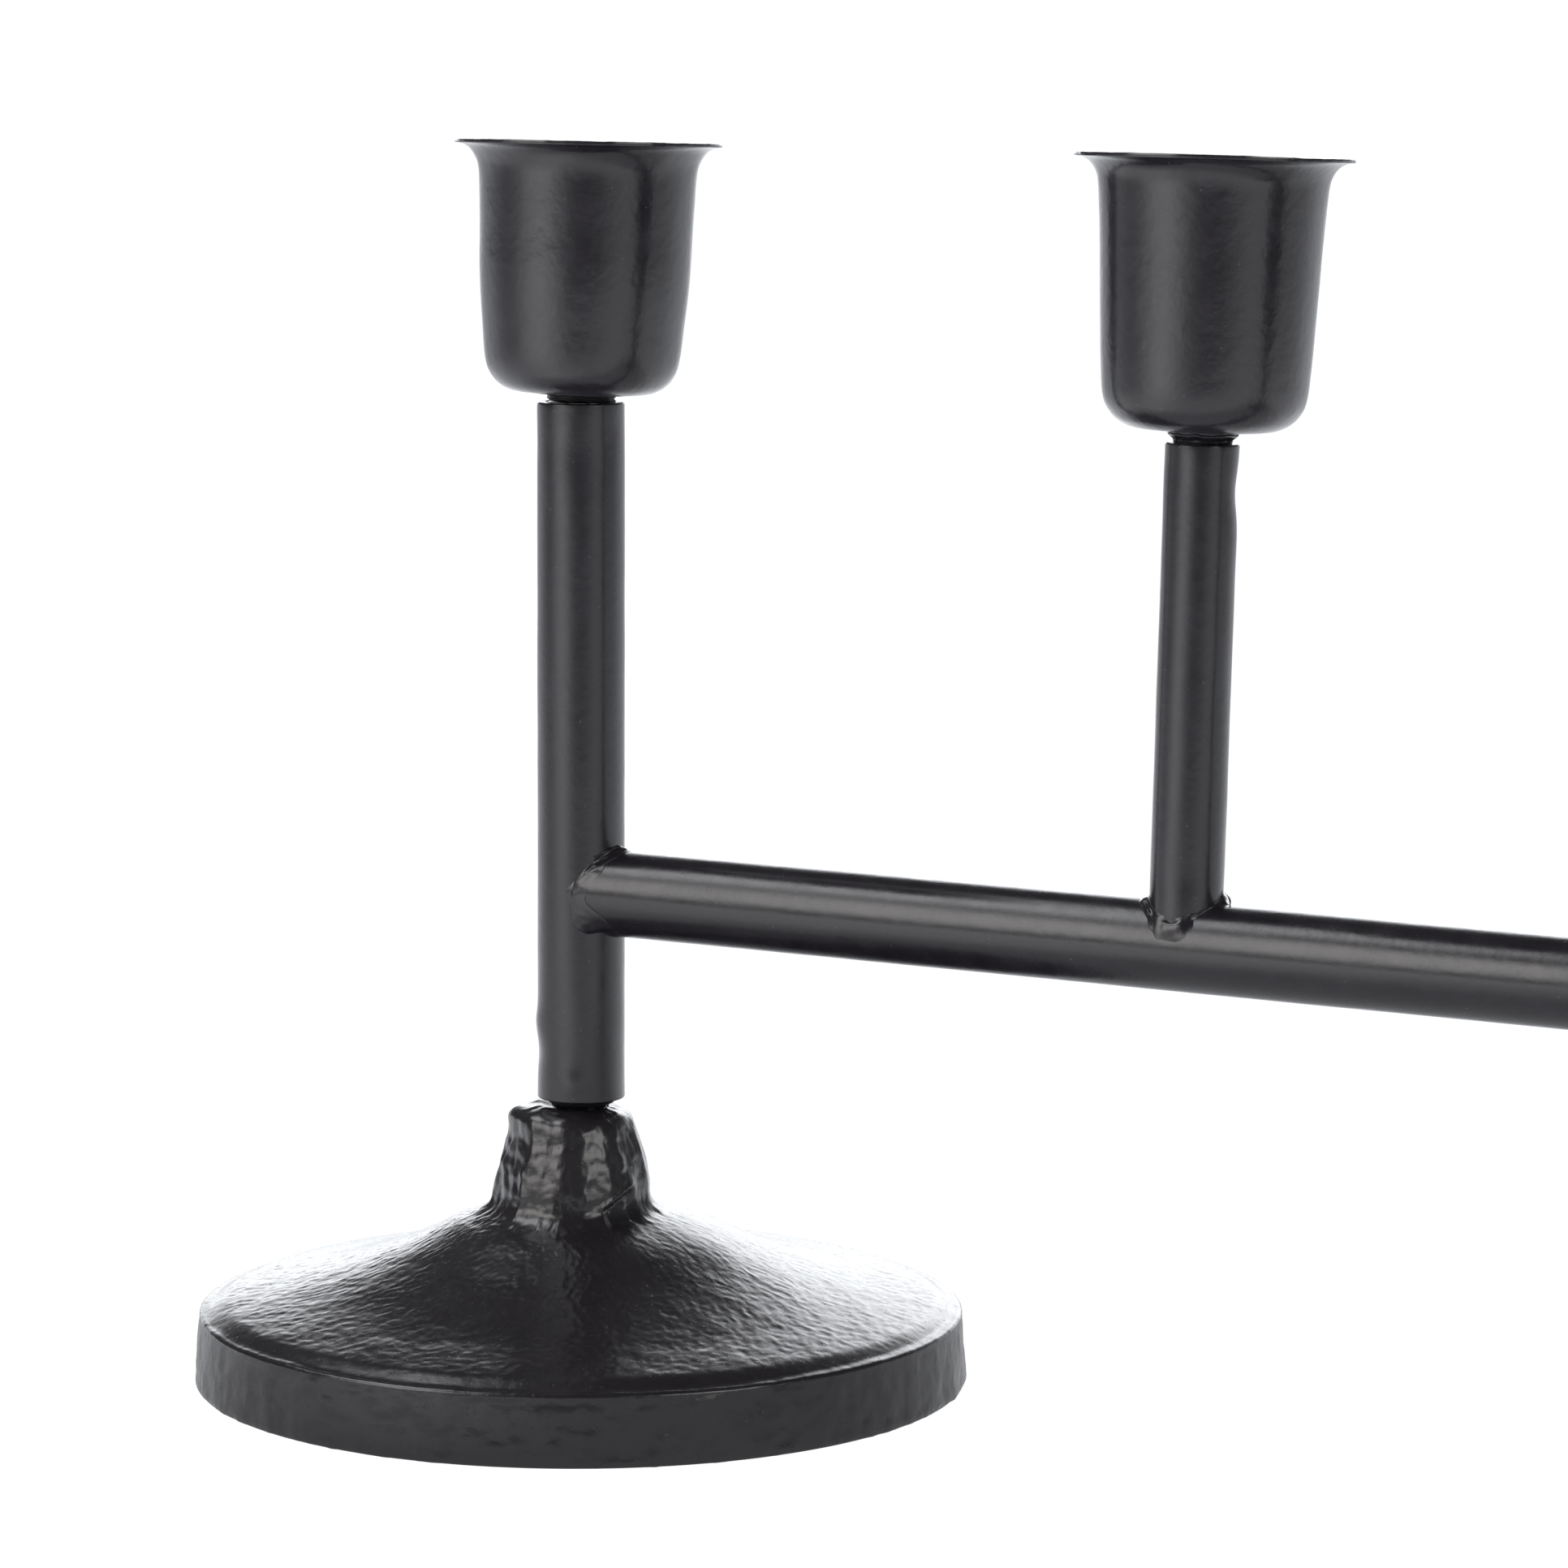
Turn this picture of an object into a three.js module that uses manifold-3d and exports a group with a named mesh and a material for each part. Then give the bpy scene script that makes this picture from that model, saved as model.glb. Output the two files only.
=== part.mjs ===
// Tabletop candelabra: five candle cups on short posts, carried by a round crossbar between two
// end posts, each screwed into a cast-iron base. Millimetres, +Z up, standing on z = 0. The origin
// is on the table, midway between the bases, and the crossbar runs along X.
import * as THREE from 'three';
import { mergeVertices } from 'three/addons/utils/BufferGeometryUtils.js';
import Module from 'manifold-3d';

const wasm = await Module();
wasm.setup();

// ---- Driving dimensions ----

const ARM_COUNT = 5;
const ARM_SPACING = 77.5;
const END_X = ((ARM_COUNT - 1) * ARM_SPACING) / 2;
const TUBE_WALL = 1;
const WELD_GAP = 0.3;
const WELD_LEG = 1.1;
const RUNNING_GAP = 0.1;
const TILT_GAP = 0.3;

const CROSSBAR_Z = 57.1;
const CROSSBAR_RADIUS = 4.75;

const END_POST = { radius: 4.93, bottom: 33.45, top: 113.7, insertRadius: 3.85 };
const INNER_POST = { radius: 3.94, top: 112.35, insertRadius: 2.85 };
const INSERT_LENGTH = 10;

const BASE_RADIUS = 45;
const BASE_RIM_INNER = 41.5;
const FELT_THICKNESS = 1.5;
const BOSS_TOP = 31.5;
const NUT_SEAT = 11;

// The foot thread is M6 and stands 0.2 mm over size under its paint.
const STUD_RADIUS = 3.1;
const STUD_BOTTOM = 3.4;
const STUD_TOP = 43.2;
const WASHER = { outer: 6, height: 1.2 };
const NUT = { acrossFlats: 10, height: 5 };

const CUP_FLOOR = 0.8;
const CUP_WALL = 0.7;
const RIM_THICKNESS = 0.5;
const CUP_SCREW = { radius: 2, headRadius: 4, headHeight: 2.4, length: 11 };
const RECESS = { width: 1.1, span: 3.6, depth: 1.3 };

// The two kinds of cup. Each outline runs up the outside as [radius, height above its underside].
const END_CUP = {
  height: 28.8,
  collar: { top: 4.03, bottom: 4.03, height: 1.1 },
  outline: [[7.8, 0], [9.5, 1.1], [10.8, 3], [11.2, 5.4], [11.9, 14.5], [12.25, 25.7], [12.8, 27.6],
    [13.7, 28.5]],
  rim: 15.03,
};
const INNER_CUP = {
  height: 30,
  collar: { top: 3.88, bottom: 3.25, height: 1.5 },
  outline: [[7.6, 0], [9.3, 1.1], [10.7, 3], [11.1, 5.1], [11.76, 18.1], [12.25, 26.8], [12.75, 28.75],
    [13.6, 29.7]],
  rim: 14.93,
};

// How far each hand-welded arm leans, and how far its cup tilts beyond that, in degrees. A lean
// is towards the heading, which is measured from +X towards +Y.
const LEAN_HEADING = 29.9;
const ARM_LEAN = [0, 1.26, 0.3, -0.45, 0];
const CUP_TILT = [0.93, -0.38, 0.25, 0.3, -0.4];

// How finely the round pieces are faceted.
const FACETS = { base: 48, cup: 28, tube: 24, bead: 16, small: 12 };

const LEFT = -1;
const RIGHT = 1;
const DEGREE = Math.PI / 180;
const UP = new THREE.Vector3(0, 0, 1);

// ---- Materials ----

function paintedSteel() {
  return new THREE.MeshStandardMaterial({ color: 0x1d1d20, roughness: 0.42, metalness: 0.2 });
}

function paintedIron() {
  return new THREE.MeshStandardMaterial({ color: 0x1a1a1d, roughness: 0.5, metalness: 0.2 });
}

function zincSteel() {
  return new THREE.MeshStandardMaterial({ color: 0xb4b6b8, roughness: 0.35, metalness: 1 });
}

function blackFelt() {
  return new THREE.MeshStandardMaterial({ color: 0x151515, roughness: 1, metalness: 0 });
}

// ---- Geometry helpers ----

function lathed(outline, facets) {
  const points = outline.map(([radius, height]) => new THREE.Vector2(radius, height));
  return new THREE.LatheGeometry(points, facets).rotateX(Math.PI / 2);
}

// Turns a closed [radius, height] outline, listed anticlockwise, about Z.
function turned(outline, facets) {
  return lathed([...outline, outline[0]], facets);
}

// Turns a small solid from an outline that starts and ends on the axis, listed from the bottom.
function solidOfRevolution(outline) {
  return lathed(outline, FACETS.small);
}

// A plain ring or tube wall from one height to another.
function ring(inner, outer, bottom, top, facets) {
  return turned([[inner, bottom], [outer, bottom], [outer, top], [inner, top]], facets);
}

// A solid rod along Z.
function rod(radius, bottom, top, facets) {
  const geometry = new THREE.CylinderGeometry(radius, radius, top - bottom, facets);
  return geometry.rotateX(Math.PI / 2).translate(0, 0, (bottom + top) / 2);
}

// A solid rod along X at the crossbar's height.
function barRod(radius, from, to, facets = FACETS.tube) {
  const geometry = new THREE.CylinderGeometry(radius, radius, to - from, facets);
  return geometry.rotateZ(Math.PI / 2).translate((from + to) / 2, 0, CROSSBAR_Z);
}

function toSolid(geometry) {
  const bare = geometry.clone();
  bare.deleteAttribute('normal');
  bare.deleteAttribute('uv');
  const merged = mergeVertices(bare, 1e-4);
  const vertProperties = new Float32Array(merged.attributes.position.array);
  const triVerts = new Uint32Array(merged.index.array);
  return new wasm.Manifold(new wasm.Mesh({ numProp: 3, vertProperties, triVerts }));
}

function toGeometry(solid) {
  const mesh = solid.getMesh();
  const geometry = new THREE.BufferGeometry();
  geometry.setAttribute('position', new THREE.BufferAttribute(mesh.vertProperties, 3));
  geometry.setIndex(new THREE.BufferAttribute(mesh.triVerts, 1));
  geometry.computeVertexNormals();
  return geometry;
}

function cut(geometry, ...cutters) {
  let solid = toSolid(geometry);
  for (const cutter of cutters) {
    solid = solid.subtract(toSolid(cutter));
  }
  return toGeometry(solid);
}

function named(name, geometry, material) {
  const mesh = new THREE.Mesh(geometry, material);
  mesh.name = name;
  return mesh;
}

function armX(index) {
  return -END_X + index * ARM_SPACING;
}

function isEndArm(index) {
  return index === 0 || index === ARM_COUNT - 1;
}

// The axis that a lean towards LEAN_HEADING turns about.
const LEAN_AXIS = new THREE.Vector3(1, 0, 0).applyAxisAngle(UP, (LEAN_HEADING + 90) * DEGREE);

function leaned(object, degrees) {
  object.quaternion.setFromAxisAngle(LEAN_AXIS, degrees * DEGREE);
  return object;
}

// ---- Bases ----

// The casting: a plate with a drafted edge, a low dome and a tapering boss with the foot thread
// through it. Underneath is a rim, a rebate for the felt, and a hollow up to the nut's seat.
function baseCasting() {
  const bore = STUD_RADIUS + RUNNING_GAP;
  const outline = [
    [BASE_RIM_INNER, 0], [BASE_RADIUS - 0.5, 0], [BASE_RADIUS, 0.5],
    [44.4, 7.6], [42.9, 9], [33, 11.2], [24, 13.5], [21.5, 14.9], [17, 16.8], [12.5, 18.1],
    [10, 20.4], [8.2, 26], [7.1, 29.4], [5.6, BOSS_TOP], [bore, BOSS_TOP],
    [bore, NUT_SEAT], [9, NUT_SEAT],
    [20, 9.6], [37.5, 4.6], [38.5, FELT_THICKNESS], [BASE_RIM_INNER, FELT_THICKNESS],
  ];
  return turned(outline, FACETS.base);
}

function feltPad() {
  return rod(BASE_RIM_INNER - WELD_GAP, 0, FELT_THICKNESS, FACETS.base);
}

function footStud() {
  const chamfer = 0.6;
  return solidOfRevolution([
    [0, STUD_BOTTOM], [STUD_RADIUS - chamfer, STUD_BOTTOM], [STUD_RADIUS, STUD_BOTTOM + chamfer],
    [STUD_RADIUS, STUD_TOP - chamfer], [STUD_RADIUS - chamfer, STUD_TOP], [0, STUD_TOP],
  ]);
}

function footWasher() {
  return ring(STUD_RADIUS + RUNNING_GAP, WASHER.outer, NUT_SEAT - WASHER.height, NUT_SEAT, FACETS.tube);
}

function footNut() {
  const cornerRadius = NUT.acrossFlats / 2 / Math.cos(Math.PI / 6);
  const hexagon = new THREE.Shape();
  for (let corner = 0; corner < 6; corner += 1) {
    const angle = corner * Math.PI / 3;
    const place = [cornerRadius * Math.cos(angle), cornerRadius * Math.sin(angle)];
    if (corner === 0) {
      hexagon.moveTo(...place);
    } else {
      hexagon.lineTo(...place);
    }
  }
  const hole = new THREE.Path();
  hole.absarc(0, 0, STUD_RADIUS + RUNNING_GAP, 0, 2 * Math.PI, true);
  hexagon.holes.push(hole);
  const geometry = new THREE.ExtrudeGeometry(hexagon, {
    depth: NUT.height,
    bevelEnabled: false,
    curveSegments: FACETS.small / 2,
  });
  return geometry.translate(0, 0, NUT_SEAT - WASHER.height - NUT.height);
}

// One base with everything that rides in it, named after its side.
function baseAssembly(side) {
  const label = side === LEFT ? 'left' : 'right';
  const group = new THREE.Group();
  group.position.set(side * END_X, 0, 0);
  group.add(named(`${label}_base_casting`, baseCasting(), paintedIron()));
  group.add(named(`${label}_felt_pad`, feltPad(), blackFelt()));
  group.add(named(`${label}_foot_stud`, footStud(), paintedSteel()));
  group.add(named(`${label}_foot_washer`, footWasher(), zincSteel()));
  group.add(named(`${label}_foot_nut`, footNut(), zincSteel()));
  const insertTop = END_POST.bottom + INSERT_LENGTH;
  const insert = ring(
    STUD_RADIUS + RUNNING_GAP, END_POST.insertRadius, END_POST.bottom, insertTop, FACETS.small,
  );
  group.add(named(`${label}_foot_insert`, insert, zincSteel()));
  return group;
}

// ---- Crossbar, posts and welds ----

// A tube from axis to axis of the end posts, its ends notched to the posts.
function crossbar() {
  const outer = barRod(CROSSBAR_RADIUS, -END_X, END_X);
  const bore = barRod(CROSSBAR_RADIUS - TUBE_WALL, -END_X - 1, END_X + 1);
  const notches = [LEFT, RIGHT].map((side) => {
    const notch = rod(END_POST.radius + WELD_GAP, 0, END_POST.top, FACETS.tube);
    return notch.translate(side * END_X, 0, 0);
  });
  return cut(outer, bore, ...notches);
}

function endPost() {
  const { radius, bottom, top } = END_POST;
  return ring(radius - TUBE_WALL, radius, bottom, top, FACETS.tube);
}

// A short tube whose foot is notched to sit astride the crossbar. It is made in the arm's own
// leaning frame, so the crossbar is turned back by the lean before it cuts.
function innerPost(lean) {
  const { radius, top } = INNER_POST;
  const notch = barRod(CROSSBAR_RADIUS + WELD_GAP, -2 * radius, 2 * radius);
  notch.translate(0, 0, -CROSSBAR_Z);
  notch.applyQuaternion(new THREE.Quaternion().setFromAxisAngle(LEAN_AXIS, -lean * DEGREE));
  const tube = ring(radius - TUBE_WALL, radius, radius / 2, top - CROSSBAR_Z, FACETS.tube);
  return cut(tube, notch);
}

// A bead along the line where a post meets the crossbar: all that lies within one leg of both.
function weldBead(index) {
  const post = isEndArm(index) ? END_POST : INNER_POST;
  const reach = CROSSBAR_RADIUS + 2 * WELD_LEG;
  const inward = index === 0 ? RIGHT : LEFT;
  const bottom = isEndArm(index) ? -reach : CROSSBAR_RADIUS / 3;
  const upright = (radius) => {
    const geometry = rod(radius, -2 * reach, 2 * reach, FACETS.bead);
    geometry.applyQuaternion(leaned(new THREE.Object3D(), ARM_LEAN[index]).quaternion);
    return geometry.translate(armX(index), 0, CROSSBAR_Z);
  };
  const along = (radius) => {
    const half = 2 * reach;
    const from = isEndArm(index) && inward === RIGHT ? 0 : -half;
    const to = isEndArm(index) && inward === LEFT ? 0 : half;
    return barRod(radius, armX(index) + from, armX(index) + to, FACETS.bead);
  };
  const room = new THREE.BoxGeometry(4 * reach, 4 * reach, reach - bottom);
  room.translate(armX(index), 0, CROSSBAR_Z + (reach + bottom) / 2);
  const bar = barRod(CROSSBAR_RADIUS + WELD_GAP, -END_X - reach, END_X + reach, FACETS.bead);
  const bead = toSolid(upright(post.radius + WELD_GAP + WELD_LEG))
    .intersect(toSolid(along(CROSSBAR_RADIUS + WELD_GAP + WELD_LEG)))
    .intersect(toSolid(room))
    .subtract(toSolid(upright(post.radius + WELD_GAP)))
    .subtract(toSolid(bar));
  return toGeometry(bead);
}

// ---- Cups ----

// A drawn steel cup with a flared lip and a screw hole in its floor, standing on z = 0.
function cup(kind) {
  const hole = CUP_SCREW.radius + RUNNING_GAP;
  const rimTop = kind.height;
  const inside = kind.outline
    .filter(([, height]) => height > CUP_FLOOR + 1.5 && height < rimTop - 1.5)
    .map(([radius, height]) => [radius - CUP_WALL, height])
    .reverse();
  const lipInner = kind.outline[kind.outline.length - 1][0];
  return turned([
    [hole, 0], ...kind.outline, [kind.rim, rimTop - RIM_THICKNESS / 2], [kind.rim, rimTop],
    [lipInner - 0.3, rimTop - 0.05], ...inside, [8.2, CUP_FLOOR], [hole, CUP_FLOOR],
  ], FACETS.cup);
}

// The collar that a cup stands on, under its floor.
function cupCollar({ top, bottom, height }) {
  const hole = CUP_SCREW.radius + RUNNING_GAP;
  return turned([[hole, 0], [bottom, 0], [top, height * 0.6], [top, height], [hole, height]], FACETS.tube);
}

// A low pan-head screw, its head's underside at z = 0. The candle stands on the flat of the head,
// around the cross recess.
function cupScrew() {
  const { radius, headRadius, headHeight, length } = CUP_SCREW;
  const body = solidOfRevolution([
    [0, -length], [radius - 0.5, -length], [radius, -length + 0.5], [radius, 0], [headRadius, 0],
    [headRadius, headHeight * 0.55], [headRadius * 0.78, headHeight], [0, headHeight],
  ]);
  const slots = [[RECESS.width, RECESS.span], [RECESS.span, RECESS.width]].map(([x, y]) => {
    const slot = new THREE.BoxGeometry(x, y, 2 * RECESS.depth);
    return slot.translate(0, 0, headHeight);
  });
  return cut(body, ...slots);
}

// ---- Arms ----

// The threaded bush pressed into the top of a post, flush with its end.
function topInsert(post) {
  const top = post.top - CROSSBAR_Z;
  return ring(
    CUP_SCREW.radius + TILT_GAP, post.insertRadius, top - INSERT_LENGTH, top, FACETS.small,
  );
}

// One arm about the crossbar's centre line: post, insert, collar, cup and screw. The cup tilts
// about the post's top.
function arm(index) {
  const number = index + 1;
  const lean = ARM_LEAN[index];
  const post = isEndArm(index) ? END_POST : INNER_POST;
  const kind = isEndArm(index) ? END_CUP : INNER_CUP;
  const group = leaned(new THREE.Group(), lean);
  group.position.set(armX(index), 0, CROSSBAR_Z);
  const postGeometry = isEndArm(index) ? endPost().translate(0, 0, -CROSSBAR_Z) : innerPost(lean);
  const postName = isEndArm(index) ? `end_post_${number}` : `inner_post_${number}`;
  group.add(named(postName, postGeometry, paintedSteel()));
  group.add(named(`post_insert_${number}`, topInsert(post), zincSteel()));

  const head = leaned(new THREE.Group(), CUP_TILT[index]);
  const tiltGap = CUP_TILT[index] === 0 ? 0 : TILT_GAP;
  head.position.set(0, 0, post.top - CROSSBAR_Z);
  const collar = cupCollar({ ...kind.collar, height: kind.collar.height - tiltGap });
  head.add(named(`cup_collar_${number}`, collar.translate(0, 0, tiltGap), paintedSteel()));
  const candleCup = named(`candle_cup_${number}`, cup(kind), paintedSteel());
  candleCup.position.set(0, 0, kind.collar.height);
  head.add(candleCup);
  const screw = named(`cup_screw_${number}`, cupScrew(), zincSteel());
  screw.position.set(0, 0, kind.collar.height + CUP_FLOOR);
  head.add(screw);
  group.add(head);
  return group;
}

// ---- Assembly ----

const candelabra = new THREE.Group();
candelabra.add(named('crossbar', crossbar(), paintedSteel()));
candelabra.add(baseAssembly(LEFT));
candelabra.add(baseAssembly(RIGHT));
for (let index = 0; index < ARM_COUNT; index += 1) {
  candelabra.add(arm(index));
  candelabra.add(named(`post_weld_${index + 1}`, weldBead(index), paintedSteel()));
}

export default candelabra;
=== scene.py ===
"""Looks of the tabletop candelabra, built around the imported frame.

Shapes are worked out in millimetres in the row frame and turned into metres when a mesh is made.
"""

import math

import bpy
import bmesh
import numpy as np
from mathutils import Matrix, Vector


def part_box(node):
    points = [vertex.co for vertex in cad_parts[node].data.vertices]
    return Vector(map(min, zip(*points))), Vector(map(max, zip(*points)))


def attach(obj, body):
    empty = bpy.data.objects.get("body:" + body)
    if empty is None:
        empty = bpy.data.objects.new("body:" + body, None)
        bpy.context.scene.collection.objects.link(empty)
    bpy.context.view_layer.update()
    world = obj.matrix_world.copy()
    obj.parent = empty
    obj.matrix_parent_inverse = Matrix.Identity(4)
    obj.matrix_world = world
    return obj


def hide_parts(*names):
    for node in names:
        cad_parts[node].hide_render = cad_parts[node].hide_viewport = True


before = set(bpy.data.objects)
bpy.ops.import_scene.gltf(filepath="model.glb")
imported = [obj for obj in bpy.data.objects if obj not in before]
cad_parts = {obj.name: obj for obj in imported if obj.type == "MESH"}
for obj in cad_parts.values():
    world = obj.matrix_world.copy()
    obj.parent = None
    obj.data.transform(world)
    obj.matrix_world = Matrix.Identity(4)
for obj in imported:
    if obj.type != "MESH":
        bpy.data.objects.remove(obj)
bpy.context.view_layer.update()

MM = 0.001
TAU = 2 * math.pi
ARMS = 5
END_ARMS = (1, ARMS)

# Headings are degrees from +X towards +Y. The camera looks along VIEW_HEADING.
VIEW_HEADING = 119.918
CAMERA_SIDE = VIEW_HEADING - 180
IMAGE_RIGHT = VIEW_HEADING - 90
IMAGE_LEFT = VIEW_HEADING + 90
CAMERA_LENS = 137.81
CAMERA_PLACE = (0.20709, -0.58237, 0.16367)
CAMERA_PITCH, CAMERA_ROLL = 7.81, 0.24


# ---------------- places taken from the frame


def box_mm(node):
    low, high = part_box(node)
    return np.array(low) / MM, np.array(high) / MM


def centre_mm(node):
    low, high = box_mm(node)
    return (low + high) / 2


def heading_vector(degrees):
    return np.array([math.cos(math.radians(degrees)), math.sin(math.radians(degrees)), 0.0])


def post_name(arm):
    return f"end_post_{arm}" if arm in END_ARMS else f"inner_post_{arm}"


BAR_LOW, BAR_HIGH = box_mm("crossbar")
# In the photograph the bar is thicker than the CAD one and a trace higher, in millimetres.
BAR_PAINT, BAR_LIFT = 0.2, 0.12
BAR_Z = (BAR_LOW[2] + BAR_HIGH[2]) / 2 + BAR_LIFT
BAR_R = (BAR_HIGH[2] - BAR_LOW[2]) / 2 + BAR_PAINT
LEFT_X = centre_mm("end_post_1")[0]
RIGHT_X = centre_mm("end_post_5")[0]
ARM_X = np.linspace(LEFT_X, RIGHT_X, ARMS)
# The posts are thicker there too, and the end posts reach lower. The inner posts lean, so their
# radius can't be read from a box.
PAINT_FILM, POST_FOOT_DROP = 0.1, 0.45
END_R = (box_mm("end_post_1")[1] - box_mm("end_post_1")[0])[0] / 2
END_PAINTED = END_R + PAINT_FILM
INNER_PAINTED = 3.94 + PAINT_FILM
TUBE_WALL = 1.0
INSERT_HALF_LENGTH = 5.0
END_CUP_HEIGHT, INNER_CUP_HEIGHT = 28.5, 29.4
END_COLLAR_HEIGHT, INNER_COLLAR_HEIGHT = 1.1, 1.5
CUP_FLOOR = 0.8


def unit(vector):
    """A vector, or each row of a table of them, at length 1."""
    return np.array(vector, float) / np.linalg.norm(vector, axis=-1, keepdims=True)


def add_object(name, data):
    thing = bpy.data.objects.new(name, data)
    bpy.context.scene.collection.objects.link(thing)
    return thing


def frame_along(axis):
    """Rotation whose third column is axis, and whose first stays as near +X as it can."""
    up = unit(axis)
    side = unit(np.array([1.0, 0, 0]) - up[0] * up)
    return np.stack([side, np.cross(up, side), up], 1)


def arm_axis(arm):
    """Where a post's axis meets the bar's, the post's direction, and its length from there up."""
    foot = np.array([ARM_X[arm - 1], 0, BAR_Z])
    insert = centre_mm(f"post_insert_{arm}") - foot
    up = unit(insert)
    return foot, up, np.dot(insert, up) + INSERT_HALF_LENGTH


def cup_axis(arm):
    """The point on the post's axis at its top, the cup's direction, and the collar's height."""
    foot, up, length = arm_axis(arm)
    top = foot + up * length
    collar = END_COLLAR_HEIGHT if arm in END_ARMS else INNER_COLLAR_HEIGHT
    return top, unit(centre_mm(f"candle_cup_{arm}") - top), collar


# ---------------- noise and shaping helpers


class Noise:
    """Seeded gradient noise over a grid of points in three dimensions, about -0.6 to 0.6."""

    def __init__(self, seed):
        random = np.random.RandomState(seed)
        self.order = np.tile(random.permutation(256), 3)
        slopes = random.normal(size=(256, 3))
        self.slopes = slopes / np.linalg.norm(slopes, axis=1, keepdims=True)

    def __call__(self, points):
        cell = np.floor(points).astype(int)
        inside = points - cell
        cell &= 255
        fade = inside ** 3 * (inside * (inside * 6 - 15) + 10)
        total = np.zeros(points.shape[:-1])
        for corner in range(8):
            step = np.array([corner & 1, (corner >> 1) & 1, corner >> 2])
            place = cell + step
            hashed = self.order[self.order[self.order[place[..., 0]] + place[..., 1]] + place[..., 2]]
            weight = np.prod(np.where(step, fade, 1 - fade), axis=-1)
            total += weight * np.sum(self.slopes[hashed] * (inside - step), axis=-1)
        return total

    def layered(self, points, octaves=3):
        total = np.zeros(points.shape[:-1])
        for octave in range(octaves):
            total += 0.5 ** octave * self(points * 2 ** octave + 17.3 * octave)
        return total

    def ridged(self, points):
        """Sharp crests between rounded hollows, 0 in the hollows to 1 on the crests."""
        return np.clip(1 - 2.4 * np.abs(self(points)), 0, 1) ** 2


def smooth(low, high, value):
    t = np.clip((value - low) / (high - low), 0, 1)
    return t * t * (3 - 2 * t)


def bump(value, middle, width):
    """A rounded hill of height 1 about middle."""
    return np.exp(-((value - middle) / width) ** 2)


def angle_gap(angle, heading):
    """Signed angle in degrees from heading to angle, where angle is in radians."""
    return (np.degrees(angle) - heading + 180) % 360 - 180


def rounded_outline(corners, step):
    """A polyline through corners (radius, height, fillet), in points about step apart."""
    places = np.array([corner[:2] for corner in corners], float)
    pieces = [places[:1]]
    for index in range(1, len(corners) - 1):
        fillet = corners[index][2]
        here = places[index]
        if fillet == 0:
            pieces.append(here[None])
            continue
        back = unit(places[index - 1] - here)
        ahead = unit(places[index + 1] - here)
        half = math.acos(np.clip(np.dot(back, ahead), -1, 1)) / 2
        reach = fillet / math.tan(half)
        start = here + back * reach
        end = here + ahead * reach
        turn = math.pi - 2 * half
        count = max(3, math.ceil(turn / math.radians(12)) + 1)
        t = np.linspace(0, 1, count)[:, None]
        # A quadratic arc is within a few per cent of the circle for turns this small.
        pieces.append((1 - t) ** 2 * start + 2 * t * (1 - t) * here + t ** 2 * end)
    pieces.append(places[-1:])
    line = np.concatenate(pieces)
    points = [line[0]]
    for start, end in zip(line[:-1], line[1:]):
        count = max(1, math.ceil(np.linalg.norm(end - start) / step))
        points.extend(start + (end - start) * k / count for k in range(1, count + 1))
    return np.array(points)


def ring_angles(around):
    return np.arange(around) / around * TAU


def revolve(outline, around):
    """Radius, angle and height over the grid (rows, around) of an outline turned about Z."""
    radius = np.repeat(outline[:, 0:1], around, 1)
    height = np.repeat(outline[:, 1:2], around, 1)
    return radius, np.repeat(ring_angles(around)[None], len(outline), 0), height


def cartesian(radius, angle, height):
    """Points from a grid of angles. Radius and height are grids too, or single numbers."""
    return np.stack([radius * np.cos(angle), radius * np.sin(angle), height + 0 * angle], -1)


def stood(points, up, foot=0):
    """Points of an upright piece, leaned to the direction up and moved to its foot."""
    return points @ frame_along(up).T + foot


def outline_normals(outline):
    """Unit normals of a closed outline that is listed anticlockwise in radius and height."""
    ahead = np.roll(outline, -1, 0) - np.roll(outline, 1, 0)
    normal = np.stack([ahead[:, 1], -ahead[:, 0]], 1)
    return normal / np.maximum(np.linalg.norm(normal, axis=1, keepdims=True), 1e-9)


def closed_grid_faces(rows, columns, close_rows=True):
    """Quads over a grid that wraps round its columns and, if asked, its rows."""
    row = np.arange(rows if close_rows else rows - 1)
    column = np.arange(columns)
    r, c = np.meshgrid(row, column, indexing="ij")
    next_r = (r + 1) % rows
    next_c = (c + 1) % columns
    quads = [r * columns + c, r * columns + next_c, next_r * columns + next_c, next_r * columns + c]
    return np.stack(quads, -1).reshape(-1, 4)


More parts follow.
